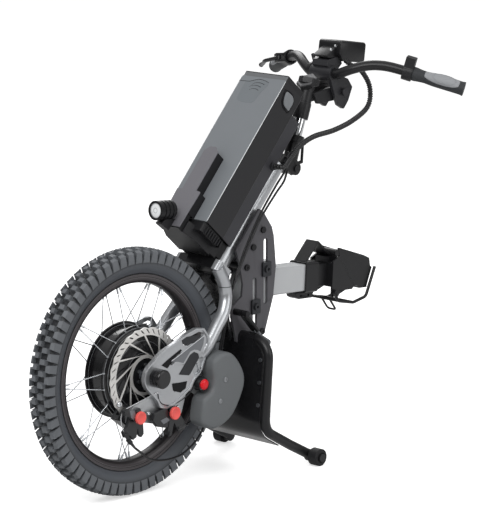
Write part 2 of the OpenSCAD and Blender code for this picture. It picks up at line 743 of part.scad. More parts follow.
module head_bearings() color("silver") mast()
    for (z = [head_z + 0.5, head_top - 10.5]) translate([0, 0, z]) difference() {
        cylinder(h = 10, r = head_d / 2 - 3);
        translate([0, 0, -1]) cylinder(h = 12, r = steerer_d / 2 + run_gap);
    }

// Saddle block behind the head tube, between the side plates
block_front = 2;
module head_clamp() color("#303133") difference() {
    mast() translate([block_front, -plate_y, 70]) cube([40 - block_front, plate_gap, 84]);
    mast() cylinder(h = 300, r = head_d / 2 + 0.05, $fn = 96);
    world() for (p = [plate_holes[0], plate_holes[1]]) pin_y(p, -60, 60, 4);
}

module side_plates() color("#57575b") world() both_sides() difference() {
    slab(-plate_y - plate_t, plate_t) offset(r = 3) offset(delta = -3) polygon(plate_line);
    for (s = slots) {
        slab(-plate_y - plate_t - 1, plate_t + 2) translate([s[0], (s[1] + s[2]) / 2])
            square([slot_w, s[2] - s[1] - slot_w], center = true);
        for (z = [s[1] + slot_w / 2, s[2] - slot_w / 2])
            pin_y([s[0], z], -plate_y - plate_t - 1, -plate_y + 1, slot_w / 2);
    }
    for (p = plate_holes) pin_y(p, -plate_y - plate_t - 1, -plate_y + 1, 4);
    pin_y(stand_pin, -plate_y - plate_t - 1, -plate_y + 1, stand_d / 2 + run_gap);
    pin_y(strut_pin, -plate_y - plate_t - 1, -plate_y + 1, 4);
}

module plate_bolts() color("#2a2a2c") world() {
    y = plate_y + plate_t;
    for (i = [0, 1]) {
        pin_y(plate_holes[i], -y - 4, y + 4, 4);
        for (s = [-y - 4, y]) pin_y(plate_holes[i], s, s + 4, 7);
    }
    for (i = [2, 3]) difference() {
        union() {
            pin_y(plate_holes[i], -y - 4, y + 4, 4);
            pin_y(plate_holes[i], -plate_y, plate_y, 8);
            for (s = [-y - 4, y]) pin_y(plate_holes[i], s, s + 4, 7);
        }
        pin_y(plate_holes[i], -y - 5, -y - 2, 2.5);
    }
    pin_y(strut_pin, strut_y[1] - 8, -plate_y, 4);
    pin_y(strut_pin, strut_y[0] + 5, -y, 7);
    pin_y(strut_pin, strut_y[1] - 8, strut_y[1] - 5.2, 6.5);
}

// Docking arm

module box_tube(l, h, w, t) difference() {
    rotate([0, 90, 0]) linear_extrude(l) offset(r = 4) square([h - 8, w - 8], center = true);
    translate([-1, 0, 0]) rotate([0, 90, 0]) linear_extrude(l + 2)
        square([h - 2 * t, w - 2 * t], center = true);
}

stud_r = slot_w / 2 - 0.3;
arm_stud_at = [[slots[0][0], 430], [slots[1][0], 352]];

// Arm tube welded to the root block that slides between the plates
module arm_tube() color("#c4c6c8") {
    arm() translate([30, 0, 0]) box_tube(arm_l - 30, arm_h, arm_w, arm_wall);
    difference() {
        world() slab(-plate_y + 0.3, plate_gap - 0.6) polygon([[330, 340], [330, 384],
            [358, 446], [396, 446], [410, 424], [410, 364], [360, 340]]);
        arm() translate([30.1, -arm_w / 2, -arm_h / 2]) cube([60, arm_w, arm_h]);
        world() for (p = arm_stud_at) pin_y(p, -60, 60, stud_r);
    }
}

module arm_studs() color("#3a3b3e") world() for (p = arm_stud_at) {
    y = plate_y + plate_t;
    pin_y(p, -y - 5, y + 5, stud_r);
    both_sides() {
        slab(-y - 5.2, 5) translate(p) offset(r = 3) square([20, 26], center = true);
        difference() {
            pin_y(p, -y - 9.2, -y - 5, 8);
            translate([p[0], -y - 6, p[1]]) rotate([90, 0, 0]) cylinder(h = 5, r = 3.4, $fn = 6);
        }
    }
}

inner_h = arm_h - 2 * arm_wall - 2 * slide_gap;
inner_w = arm_w - 2 * arm_wall - 2 * slide_gap;

module arm_collar() color("#1f1f21") arm() difference() {
    union() {
        translate([arm_l - 40 + 0.4, 0, 0]) rotate([0, 90, 0]) linear_extrude(40)
            offset(r = 6) square([arm_h + 8 - 12, arm_w + 8 - 12], center = true);
        slab(-15, 30) polygon([[arm_l - 60, -arm_h / 2 - 4], [arm_l - 56, -arm_h / 2 - 14],
            [arm_l - 48, -arm_h / 2 - 18], [arm_l - 6, -arm_h / 2 - 18],
            [arm_l, -arm_h / 2 - 3], [arm_l - 40, -arm_h / 2 - 3]]);
    }
    translate([arm_l - 70, -arm_w / 2, -arm_h / 2]) cube([100, arm_w, arm_h]);
    for (x = [arm_l - 42, arm_l - 18]) pin_y([x, -arm_h / 2 - 11], -16, 16, 2.5);
}

dock_x = 242;
cheek_y = 30;
cheek_t = 5;
notch_at = [300, -42];
// Lower edge of the cheeks: the notch grips a third of the bar above it
notch_edge = notch_at[1] + 0.43 * dock_r;
hoop_pin = [228, -40];

module dock_tube() color("#1d1d1f") arm() translate([96, 0, 0])
    box_tube(dock_x - 96 - 12, inner_h, inner_w, 3);

// Docking head: cheeks with a round notch, roof plate and cross pins
module dock_cheeks() color("#1d1d1f") arm() {
    both_sides() difference() {
        slab(-cheek_y - cheek_t, cheek_t) offset(r = 2) offset(delta = -2) polygon([[220, -50],
            [220, 32], [240, 42], [236, 62], [322, 38], [342, 30], [346, 12], [352, 8],
            [336, notch_edge], [266, notch_edge], [240, -46]]);
        pin_y(notch_at, -cheek_y - 10, -cheek_y + 10, dock_r);
        pin_y(hoop_pin, -cheek_y - 10, -cheek_y + 10, 4);
    }
    difference() {
        translate([220, -cheek_y, -26]) cube([10, 2 * cheek_y, 54]);
        translate([219, -inner_w / 2, -inner_h / 2]) cube([13, inner_w, inner_h]);
    }
    difference() {
        slab(-cheek_y, 2 * cheek_y) polygon([[266, notch_edge], [336, notch_edge], [344, 12],
            [340, 28], [320, 34], [316, 28], [330, 20], [334, 8], [324, notch_edge + 14],
            [266, notch_edge + 14]]);
        pin_y(notch_at, -50, 50, dock_r);
    }
    slab(-17, 34) polygon([[146, 35], [184, 78], [188, 78], [238, 40], [232, 40],
        [186, 72], [153, 35]]);
    translate([218, -17, 26.2]) cube([16, 34, 14]);
    pin_y([234, 50], -cheek_y - 4, cheek_y + 4, 8);
    both_sides() pin_y(hoop_pin, -cheek_y - cheek_t - 9, -cheek_y, 4 - run_gap);
}

// Sprung hoops that close under the docking bar
module latch_hoops() color("#1a1a1c") arm() {
    y = cheek_y + cheek_t + 5;
    line = rounded([[228, -y, -46], [236, -y, -58], [288, -y, -66], [330, -y, -56],
        [356, -y, 10]], 14, 5);
    both_sides() {
        tube(line, 3.5, 12);
        difference() {
            pin_y(hoop_pin, -y - 3, -y + 3, 8);
            pin_y(hoop_pin, -y - 6, -y + 6, 4);
        }
    }
    rod([288, -y, -65.5], [288, y, -65.5], 2.8);
    tube(rounded([[240, -12, -59], [262, -12, -84], [262, 12, -84], [240, 12, -59]], 6, 4),
        2.4, 10);
    rod([240, -y, -58.5], [240, y, -58.5], 2.9);
}

// Stand

leg_y = stand_w / 2;
tube_r = stand_d / 2;
foot = [430, roller_d / 2 - frame_shift[1]];
// One leg in X and Z, from the hinge down to its foot
leg_side = [stand_pin, [293, 150], [290, 100], [372, 52]];
leg_bend = 40;
leg_path = [for (q = rounded([
    [stand_pin[0], 0, stand_pin[1]], [stand_pin[0], -leg_y, stand_pin[1]],
    [leg_side[1][0], -leg_y, leg_side[1][1]], [leg_side[2][0], -leg_y, leg_side[2][1]],
    [leg_side[3][0], -leg_y, leg_side[3][1]], [foot[0] - 3, -leg_y - 0.5, foot[1] + 3]
], leg_bend, 7)) if (q[1] < -leg_y + leg_bend + 0.1) q];

module stand_hoop() color("#232325") world() {
    bar_y = leg_y - leg_bend + 1;
    pin_y(stand_pin, -bar_y, bar_y, tube_r);
    both_sides() {
        tube(leg_path, tube_r - 0.1, 20);
        pin_y(foot, -leg_y - 12, -leg_y + 2, 13);
        pin_y(foot, -leg_y - 13 - roller_w, -leg_y, 5);
        pin_y(foot, -leg_y - 16 - roller_w, -leg_y - 12.7 - roller_w, 9);
    }
}

// Pressed panel on the front of the legs, its top corners round like the hoop's
panel_t = 2.5;
panel_side = rounded([leg_side[0], leg_side[1], leg_side[2], [344, 68.4]], leg_bend, 7);
function beside(p, t) = [for (i = [0:len(p) - 1])
    let (d = along(p, i)) [p[i][0] - t * d[1], p[i][1] + t * d[0]]];
function reversed(p) = [for (i = [len(p) - 1:-1:0]) p[i]];
module stand_panel() color("#1b1b1d") world() {
    edge = leg_y - 3;
    bend = leg_bend - 3;
    intersection() {
        slab(-edge, 2 * edge) polygon(concat(beside(panel_side, -tube_r - 0.3),
            reversed(beside(panel_side, -tube_r - 0.3 - panel_t))));
        translate([200, 0, 0]) rotate([90, 0, 90]) linear_extrude(250) difference() {
            polygon(concat([[-edge, 40]], arc([bend - edge, stand_pin[1] - 2 - bend], bend, 180, 90),
                arc([edge - bend, stand_pin[1] - 2 - bend], bend, 90, 0), [[edge, 40]]));
            translate([-plate_y - plate_t - 45, stand_pin[1] - 28])
                square([2 * (plate_y + plate_t) + 50, 50]);
        }
    }
}

module stand_fittings() color("#56585b") world() {
    screws = beside([leg_side[0], leg_side[1]], -tube_r - 0.3 - panel_t);
    both_sides() for (t = [0.28, 0.62, 0.96])
        translate([screws[0][0] + t * (screws[1][0] - screws[0][0]), -leg_y + 9,
            screws[0][1] + t * (screws[1][1] - screws[0][1])])
            rotate([0, -90 + atan2(leg_side[0][0] - leg_side[1][0],
                leg_side[0][1] - leg_side[1][1]), 0]) cylinder(h = 3, r = 4.5);
    for (y = [strut_y[0] + 5, strut_y[1] + 5, strut_y[1] - 8]) slab(y, 3) difference() {
        offset(r = 6) polygon([stand_pin + [0, -8], stand_pin + [8, 6], clevis_pin + [1, 0],
            clevis_pin + [-1, 0]]);
        translate(stand_pin) circle(r = tube_r + 0.05);
    }
    pin_y(clevis_pin, strut_y[1] - 10, strut_y[0] + 9, 3);
}

module roller(side) color("#1d1d1f") world() mirror([0, side, 0])
    translate([foot[0], -leg_y - 12.5, foot[1]]) rotate([90, 0, 0]) difference() {
        rotate_extrude() polygon([[0, 0.3], [roller_d / 2 - 2, 0.3], [roller_d / 2, 2.3],
            [roller_d / 2, roller_w - 2], [roller_d / 2 - 2, roller_w],
            [11, roller_w], [11, roller_w - 2], [0, roller_w - 2]]);
        translate([0, 0, -1]) cylinder(h = roller_w + 2, r = 5 + run_gap);
    }
module roller_left() roller(0);
module roller_right() roller(1);

// Twin struts that telescope as the stand folds
strut_l = norm(clevis_pin - strut_pin);
module strut(i) world() translate([strut_pin[0], strut_y[i], strut_pin[1]])
    rotate([0, 90 - atan2(strut_dir[1], strut_dir[0]), 0]) children();
module strut_tubes() color("#2a2a2c") for (i = [0, 1]) {
    difference() {
        strut(i) union() {
            rotate([90, 0, 0]) translate([0, 0, -4.5]) cylinder(h = 9, r = 7);
            cylinder(h = 58, r = 4.8);
        }
        strut(i) translate([0, 0, 14]) cylinder(h = 60, r = 3.4);
        world() pin_y(strut_pin, -90, 0, 4 + run_gap);
    }
}
module strut_rods() color("#8d9094") for (i = [0, 1]) difference() {
    strut(i) union() {
        translate([0, 0, 46]) cylinder(h = strut_l - 46, r = 2.6);
        translate([0, 0, strut_l]) rotate([90, 0, 0]) translate([0, 0, -4.5])
            cylinder(h = 9, r = 6.5);
    }
    world() pin_y(clevis_pin, -90, 0, 3 + run_gap);
}

// Handlebar post

// Cap of the steerer: clamps it, holds the rail's top and carries the post's ears
module column_head() color("#262628") mast() {
    z = head_top + 1;
    difference() {
        union() {
            translate([0, 0, z]) cylinder(h = column_h, r = steerer_d / 2 + 8);
            translate([rail_back, -18, z]) cube([-rail_back - 12, 36, column_h]);
            both_sides() translate([0, 17, z]) cube([knuckle[0], 7, 34]);
            both_sides() pin_y(knuckle, 17, 24, 15);
        }
        translate([0, 0, z - 1]) cylinder(h = 36, r = steerer_d / 2);
        pin_y(knuckle, -17, 17, 17);
    }
    pin_y(knuckle, -26, 26, 5);
    both_sides() pin_y(knuckle, 23.9, 28, 8);
}

post_r = post_d / 2;
outer_r = post_r + 3.4;
lever_at = [outer_r + 8, 64];
module post_tube() color("#1f1f21") post() difference() {
    union() {
        pin_y([0, 0], -16.6, 16.6, 14);
        translate([0, 0, 8]) cylinder(h = 64, r = outer_r);
        translate([0, 0, 56]) cylinder(h = 16, r = outer_r + 3);
        slab(-9, 18) translate([outer_r - 1, 58]) square([14, 12]);
    }
    translate([0, 0, 18]) cylinder(h = 60, r = post_r + run_gap);
    pin_y([0, 0], -20, 20, 5 + run_gap);
    pin_y(lever_at, -20, 20, 3 + run_gap);
    slab(-4.5, 9) translate([outer_r + 0.5, 50]) square([20, 30]);
}

collar_z = 110;
module post_inner() color("#cfd1d3") post() difference() {
    translate([0, 0, 40]) cylinder(h = collar_z, r = post_r);
    translate([0, 0, 39]) cylinder(h = collar_z - 10, r = post_r - 3);
}

// Clamp block on the post with its six-sided cap and the arms of the tilt joint
module stem() color("#2a2a2d") {
    difference() {
        post() union() {
            translate([0, 0, collar_z]) cylinder(h = 36, r = post_r + 4.5);
            translate([0, 0, collar_z + 36]) cylinder(h = 39, r = post_r + 3);
            translate([0, 0, collar_z + 75]) rotate_extrude() polygon([[0, 0], [17, 0],
                [21, 3], [0, 3]]);
            translate([0, 0, collar_z + 78]) linear_extrude(14) offset(r = 4)
                circle(r = 20, $fn = 6);
        }
        post() translate([0, 0, collar_z - 1]) cylinder(h = 41, r = post_r);
    }
    world() both_sides() slab(-20, 8) offset(r = 4) polygon([[566, 772], [556, 790],
        [600, 796], [636, 798], [644, 792], [642, 780], [630, 775]]);
    world() pin_y(tilt_pin, -36, 36, 6);
}

module height_lever() color("#242426") post() {
    pin_y(lever_at, -4, 4, 6);
    rod([lever_at[0] + 3, 0, lever_at[1] - 2], [lever_at[0] + 14, 0, lever_at[1] - 42], 3.2);
    rod([lever_at[0] - 4, 0, lever_at[1] - 52], [lever_at[0] + 15, 0, lever_at[1] - 42], 4);
    pin_y(lever_at, -12, 12, 3);
}

// Tilting clamp of the handlebar: two cheeks, a split ring and the display's foot
module bar_clamp() color("#38393c") world() {
    both_sides() {
        difference() {
            slab(-31, 9) offset(r = 5) polygon([[612, 826], [648, 812], [660, 796], [648, 770],
                [636, 756], [622, 764], [610, 790], [600, 818]]);
            pin_y(tilt_pin, -40, 0, 6 + run_gap);
            pin_y(bar_at, -40, 0, bar_d / 2 + 0.05);
        }
    }
    difference() {
        union() {
            pin_y(bar_at, -31, 31, bar_d / 2 + 6);
            slab(-22.5, 45) polygon([[606, 836], [590, 850], [594, 862], [634, 868], [640, 850],
                [626, 838]]);
        }
        pin_y(bar_at, -40, 40, bar_d / 2 + 0.05);
    }
    both_sides() pin_y(tilt_pin, -40, -36.2, 9);
}

module handlebar() color("#222224") world() {
    half = concat([bar_line[0]], smooth([for (i = [1:7]) bar_line[i]], 4));
    tube(concat(reversed([for (p = half) [p[0], -p[1], p[2]]]),
        [for (i = [1:len(half) - 1]) half[i]]), bar_d / 2, 20);
}

module grips() color("#4a4d50") world() both_sides() {
    tip = bar_end + grip_over * grip_way;
    flipped = [1, -1, 1];
    p = [for (i = [0:2]) tip[i] * flipped[i]];
    w = [for (i = [0:2]) grip_way[i] * flipped[i]];
    difference() {
        translate(p) rotate([0, acos(-w[2]), atan2(-w[1], -w[0])])
            rotate_extrude() polygon([[0, 0], [grip_d / 2 - 2, 0], [grip_d / 2, 2],
                [grip_d / 2, 30], [grip_d / 2 + 1, 60], [grip_d / 2 - 1, grip_l - 6],
                [grip_d / 2 - 2, grip_l], [0, grip_l]]);
        rod(p - (grip_l + 2) * w, p - (grip_over - 0.1) * w, bar_d / 2 + 0.3);
    }
}

switch_from_end = grip_over - grip_l - 11;
switch_at = [bar_end[0] + switch_from_end * grip_way[0], -bar_end[1] - switch_from_end * grip_way[1],
    bar_end[2] + switch_from_end * grip_way[2]];
module at_switch() world() translate(switch_at)
    rotate([0, acos(grip_way[2]), atan2(-grip_way[1], grip_way[0])]) children();
module switch_block() color("#232325") {
    difference() {
        at_switch() {
            translate([0, 0, -12]) cylinder(h = 22, r = 19);
            translate([-34, -15, -12]) cube([24, 30, 22]);
        }
        at_switch() translate([0, 0, -20]) cylinder(h = 60, r = bar_d / 2 + 1.2);
        at_switch() translate([-24, 2, -1]) rotate([-90, 0, 0]) cylinder(h = 20, r = 6);
    }
    mirror([0, 1, 0]) at_switch() difference() {
        union() {
            translate([0, 0, -14]) cylinder(h = 24, r = 17);
            for (x = [5, -10]) translate([x, -34, -14]) cube([5, 34, 20]);
        }
        translate([0, 0, -20]) cylinder(h = 60, r = bar_d / 2 + 1.2);
        translate([-20, brake_pin[0], brake_pin[1]]) rotate([0, 90, 0]) cylinder(h = 40, r = 3);
    }
}
module switch_button() color("#d0101c") at_switch() translate([-24, 5.5, -1])
    rotate([-90, 0, 0]) cylinder(h = 13, r = 6 - slide_gap / 2);

// Brake lever of the right hand, in front of the grip
brake_pin = [-27, -7];
module brake_lever() color("#242426") mirror([0, 1, 0]) at_switch() {
    translate([-10.2, brake_pin[0], brake_pin[1]]) rotate([0, 90, 0])
        cylinder(h = 20.4, r = 3 - run_gap);
    translate([-4, brake_pin[0], brake_pin[1]]) rotate([0, 90, 0]) cylinder(h = 8, r = 5.8);
    tube(smooth([[0, brake_pin[0], brake_pin[1]], [0, -38, 14], [0, -47, 40], [0, -42, 74],
        [0, -40, 104]], 5), [for (i = [0:20]) i < 3 ? 3.6 : 4.6], 12);
    translate([0, -40, 104]) sphere(r = 5.6);
}

// Thumb lever beside the clamp
module throttle_lever() color("#242426") world() difference() {
    union() {
        pin_y([bar_at[0] + 2, bar_at[1] + 3], 32, 39.5, 17);
        rod([bar_at[0] + 12, 36, bar_at[1] + 12], [bar_at[0] + 20, 52, bar_at[1] + 34], 4);
    }
    pin_y(bar_at, 30, 66, bar_d / 2 + 0.3);
}

// Display and its bracket
module display() color("#1f1f21") world() {
    difference() {
        translate([664, 0, 873]) rotate([0, 8, 0]) soft_block([86, 66, 24], 6);
        translate([664, 0, 873]) rotate([0, 8, 0]) translate([0, 0, 22]) soft_block([70, 52, 8], 4);
    }
    slab(-20, 40) polygon([[592, 862.2], [586, 866], [622, 884], [634, 890], [634, 868.2]]);
}

// Cables

// Distance along a path to each of its points, and the point at a distance
function reach(p, i = 0, sum = 0, done = []) = i == len(p) ? done :
    reach(p, i + 1, sum + (i + 1 < len(p) ? norm(p[i + 1] - p[i]) : 0), concat(done, [sum]));
function point_at(p, far, d) = let (i = max([for (k = [0:len(p) - 2]) if (far[k] <= d) k]))
    p[i] + (p[i + 1] - p[i]) * (d - far[i]) / (far[i + 1] - far[i]);

// Route of the corrugated loom, from under the display down to a gland on the rail
loom_line = smooth([[644, -24, 875.6], [642.4, -24, 863], [650, -38, 848], [676, -48, 832],
    [697, -54, 795], [688, -57, 754], [637, -58, 728], [574, -58, 713], [511, -56, 706],
    [465, -56, 690], [430, -60, 668], [404, -68, 655], [396.9, -60, 653.4],
    [396.9, -46.2, 653.4]], 5);
loom_r = 6;
loom_valley = 5.1;
rib_pitch = 4.8;

// A tube with a rib for every pitch, straight and smooth at both ends
module cable_loom() color("#1c1c1e") world() {
    far = reach(loom_line);
    length = far[len(far) - 1];
    ribs = floor((length - 4 * loom_r) / rib_pitch);
    start = (length - ribs * rib_pitch) / 2;
    steps = concat([0], [for (i = [0:2 * ribs]) start + i * rib_pitch / 2], [length]);
    tube([for (d = steps) point_at(loom_line, far, min(d, length - 0.001))],
        [for (i = [0:len(steps) - 1]) i == 0 || i == len(steps) - 1 || i % 2 == 1
            ? loom_valley : loom_r], 8);
}

// Brake cables: from the column head down to the pull arms
brake_runs = [
    [[456, -24.4, 662], [455, -36, 660], [430, -47, 640], [400, -49, 613], [353, -50, 562],
        [321, -50, 518], [292, -50, 471], [264, -51, 417], [254, -51, 380], [240, -50, 330],
        [227, -50, 276], [208, -50, 200], [182, -50, 134], [150, -51, 95], [110, -54, 76],
        [77, -58, 72], [32, -64, 76], [-8, -70, 88], [-38, -76, 108], [-62.3, -78, 127],
        [-77.8, -78, 146.7]],
    [[449, -24.4, 652], [448, -32, 651], [442, -41, 640], [421, -51, 618],
        [392, -56, 598], [347, -57, 554],
        [315, -57, 510], [286, -57, 464], [256, -57, 412], [243, -57, 374], [228, -57, 330],
        [213, -57, 278], [200, -57, 224], [176, -57, 174], [133, -57, 146], [110, -62, 140],
        [101, -73, 142], [95, -77.6, 143.8], [88.3, -78, 144.6]]
];
module brake_cables() color("#1c1c1e") world()
    for (run = brake_runs) tube(smooth(run, 3), 2.4, 8);

head_tube();
head_clamp();
side_plates();
plate_bolts();
head_bearings();
arm_tube();
arm_studs();
arm_collar();
dock_tube();
dock_cheeks();
latch_hoops();
stand_hoop();
stand_panel();
stand_fittings();
roller_left();
roller_right();
strut_tubes();
strut_rods();
fork();
mudguard();
battery_rail();
battery_dock();
dock_shield();
headlight_body();
headlight_lens();
motor_axle();
axle_caps();
brake_bracket();
calipers();
caliper_knobs();
ballast_weights();
column_head();
brake_cables();
pull_arm_front();
pull_arm_rear();
ballast_button_left();
ballast_button_right();
tyre();
rim();
spokes();
hub_shell();
rotor();
rotor_bolts();
hub_bearings();
battery_case();
battery_cap();
lock_cover();
post_tube();
post_inner();
stem();
height_lever();
bar_clamp();
handlebar();
grips();
switch_block();
display();
switch_button();
throttle_lever();
brake_lever();
cable_loom();
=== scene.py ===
import math

import bpy
from mathutils import Matrix, Vector


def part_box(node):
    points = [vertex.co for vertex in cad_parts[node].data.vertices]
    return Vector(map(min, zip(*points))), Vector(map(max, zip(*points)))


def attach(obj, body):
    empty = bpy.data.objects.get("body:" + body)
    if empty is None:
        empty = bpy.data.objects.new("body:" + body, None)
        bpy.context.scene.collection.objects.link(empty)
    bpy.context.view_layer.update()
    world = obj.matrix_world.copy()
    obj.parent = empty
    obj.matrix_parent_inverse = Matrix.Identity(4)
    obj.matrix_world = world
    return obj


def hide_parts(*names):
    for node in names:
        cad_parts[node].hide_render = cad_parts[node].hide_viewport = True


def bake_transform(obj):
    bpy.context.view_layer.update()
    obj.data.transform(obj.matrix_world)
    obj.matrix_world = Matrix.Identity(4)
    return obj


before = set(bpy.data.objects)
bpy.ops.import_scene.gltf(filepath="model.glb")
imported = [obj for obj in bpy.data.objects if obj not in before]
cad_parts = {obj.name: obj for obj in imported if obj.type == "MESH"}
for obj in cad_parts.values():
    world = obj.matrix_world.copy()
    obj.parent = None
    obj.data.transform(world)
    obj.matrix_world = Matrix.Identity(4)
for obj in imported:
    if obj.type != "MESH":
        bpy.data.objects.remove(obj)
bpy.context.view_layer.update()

# ---------------------------------------------------------------- Photograph's view
# The power assist stands on its wheel and stand, seen from its front left corner
# with a long lens. Places are given in millimetres behind the axle, to the right
# of the wheel's middle and above the floor.

wheel_low, wheel_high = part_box("tyre")
axle_x = (wheel_low.x + wheel_high.x) / 2
axle_up = 263


def spot(x, y, z):
    return Vector((axle_x + x / 1000, y / 1000, z / 1000))


def placed(name, data):
    ob = bpy.data.objects.new(name, data)
    bpy.context.scene.collection.objects.link(ob)
    return ob


lens = bpy.data.cameras.new("view")
lens.sensor_fit = "HORIZONTAL"
lens.sensor_width = 36
focal_pixels, picture_pixels = 2830.13, 488
lens.lens = focal_pixels * lens.sensor_width / picture_pixels
lens.clip_end = 30
view = placed("view", lens)
toward_us = Vector((-0.71070, -0.67471, 0.19918)).normalized()
across = Vector((0.6885, -0.7253, 0)).normalized()
view.matrix_world = Matrix.Translation(spot(-4000.35, -4129.69, 1677.23)) @ Matrix(
    (across, toward_us.cross(across), toward_us)).transposed().to_4x4()
bpy.context.scene.camera = view
bpy.context.scene.view_settings.view_transform = "Standard"

# ---------------------------------------------------------------- Studio
# A white floor that keeps the soft shadow, a bright even room, and three large
# lamps: one high on the left, a weaker one on the right and one behind.


def net(tree, kind, **values):
    """A new shader node, with its inputs and settings by name"""
    node = tree.nodes.new(kind)
    for key, value in values.items():
        if key in node.inputs:
            node.inputs[key].default_value = value
        else:
            setattr(node, key, value)
    return node


room = bpy.data.worlds.new("room")
bpy.context.scene.world = room
room.use_nodes = True
air = room.node_tree
air.nodes.clear()
ray = net(air, "ShaderNodeLightPath")
clear = net(air, "ShaderNodeMath", operation="MAXIMUM")
air.links.new(ray.outputs["Is Transmission Ray"], clear.inputs[0])
air.links.new(ray.outputs["Is Camera Ray"], clear.inputs[1])
heading = net(air, "ShaderNodeTexCoord")
height = net(air, "ShaderNodeSeparateXYZ")
air.links.new(heading.outputs["Generated"], height.inputs[0])
walls = net(air, "ShaderNodeMapRange", interpolation_type="SMOOTHSTEP",
    **{"From Min": 0.12, "From Max": 0.85, "To Min": 0.14, "To Max": 0.85})
air.links.new(height.outputs["Z"], walls.inputs["Value"])
shiny = net(air, "ShaderNodeMix", data_type="FLOAT")
shiny.inputs[2].default_value = 0.55
air.links.new(ray.outputs["Is Glossy Ray"], shiny.inputs[0])
air.links.new(walls.outputs[0], shiny.inputs[3])
level = net(air, "ShaderNodeMath", operation="MAXIMUM")
air.links.new(clear.outputs[0], level.inputs[0])
air.links.new(shiny.outputs[0], level.inputs[1])
glow = net(air, "ShaderNodeBackground", Color=(1, 1, 1, 1))
air.links.new(level.outputs[0], glow.inputs["Strength"])
air.links.new(glow.outputs[0], net(air, "ShaderNodeOutputWorld").inputs["Surface"])

floor_mesh = bpy.data.meshes.new("floor")
floor_mesh.from_pydata([(-9, -9, 0), (9, -9, 0), (9, 9, 0), (-9, 9, 0)], [], [(0, 1, 2, 3)])
placed("floor", floor_mesh)
paper = bpy.data.materials.new("white paper")
paper.use_nodes = True
sheet = paper.node_tree
sheet.nodes.clear()
mirrored_share, floor_glow = 0.3, 0.52
ray = net(sheet, "ShaderNodeLightPath")
mirrored = net(sheet, "ShaderNodeMath", operation="MULTIPLY")
mirrored.inputs[1].default_value = mirrored_share
seen = net(sheet, "ShaderNodeMath", operation="MAXIMUM")
glow = net(sheet, "ShaderNodeMath", operation="MULTIPLY")
glow.inputs[1].default_value = floor_glow
tone = net(sheet, "ShaderNodeMix", data_type="RGBA")
tone.inputs[6].default_value = (0.5, 0.5, 0.5, 1)
tone.inputs[7].default_value = (0.94, 0.94, 0.94, 1)
face = net(sheet, "ShaderNodeBsdfPrincipled", Roughness=0.9,
    **{"Emission Color": (1, 1, 1, 1), "Specular IOR Level": 0.1})
for out, into in ((ray.outputs["Is Glossy Ray"], mirrored.inputs[0]),
        (ray.outputs["Is Camera Ray"], seen.inputs[0]), (mirrored.outputs[0], seen.inputs[1]),
        (seen.outputs[0], glow.inputs[0]), (seen.outputs[0], tone.inputs[0]),
        (tone.outputs[2], face.inputs["Base Color"]),
        (glow.outputs[0], face.inputs["Emission Strength"]),
        (face.outputs[0], net(sheet, "ShaderNodeOutputMaterial").inputs["Surface"])):
    sheet.links.new(out, into)
floor_mesh.materials.append(paper)


def lamp(name, place, aim, size, watts):
    data = bpy.data.lights.new(name, "AREA")
    data.shape = "RECTANGLE"
    data.size, data.size_y = size
    data.energy = watts
    ob = placed(name, data)
    ob.location = place
    ob.rotation_euler = (aim - place).to_track_quat("-Z", "Y").to_euler()


middle = Vector((0, 0, 0.45))
lamp("key lamp", Vector((-2.6, -1.4, 2.9)), middle, (2.4, 1.8), 70)
lamp("fill lamp", Vector((1.2, -3.2, 1.6)), middle, (2.2, 2.0), 30)
lamp("back lamp", Vector((1.8, 2.4, 2.4)), middle, (2.0, 1.6), 34)

# ---------------------------------------------------------------- Corrugated loom
# A ribbed black sleeve that holds the display, throttle and brake wires. It leaves
# the back of the display, bows out behind the post and ends in a gland on the rail.


def between(a, b, c, d, steps):
    """Points of the smooth curve from b up to c, where a and d are its neighbours"""
    return [0.5 * (2 * b + (c - a) * t + (2 * a - 5 * b + 4 * c - d) * t * t
        + (3 * b - a - 3 * c + d) * t ** 3) for t in (k / steps for k in range(steps))]


def smoothed(points, steps):
    p = [Vector(q) for q in points]
    out = []
    for i in range(len(p) - 1):
        out += between(p[max(i - 1, 0)], p[i], p[i + 1], p[min(i + 2, len(p) - 1)], steps)
    return out + [p[-1]]


def skin(rows, n):
    """Faces over rows of n points each, with a face on either end"""
    faces = [(j * n + i, j * n + (i + 1) % n, (j + 1) * n + (i + 1) % n, (j + 1) * n + i)
        for j in range(rows - 1) for i in range(n)]
    return faces + [tuple(reversed(range(n))), tuple(range((rows - 1) * n, rows * n))]


def swept(name, path, radii, sides=12):
    """A round tube along a path, with its own radius at each point"""
    if not hasattr(radii, "__len__"):
        radii = [radii] * len(path)
    verts, side = [], None
    for i, p in enumerate(path):
        way = (path[min(i + 1, len(path) - 1)] - path[max(i - 1, 0)]).normalized()
        if side is None:
            side = way.orthogonal().normalized()
        side = (side - way * side.dot(way)).normalized()
        up = way.cross(side)
        for k in range(sides):
            a = 2 * math.pi * k / sides
            verts.append(p + (side * math.cos(a) + up * math.sin(a)) * radii[i])
    return built(name, verts, skin(len(path), sides))


def built(name, verts, faces, smooth=40):
    """A mesh object of its own, smooth over edges flatter than the given angle"""
    mesh = bpy.data.meshes.new(name)
    mesh.from_pydata([tuple(v) for v in verts], [], faces)
    mesh.validate()
    mesh.update()
    if smooth:
        mesh.shade_smooth()
        mesh.set_sharp_from_angle(angle=math.radians(smooth))
    return placed(name, mesh)


def linear(hexcode):
    """A colour written in hex, as the renderer's linear values"""
    c = [int(hexcode[i:i + 2], 16) / 255 for i in (1, 3, 5)]
    return [v / 12.92 if v <= 0.04045 else ((v + 0.055) / 1.055) ** 2.4 for v in c] + [1]


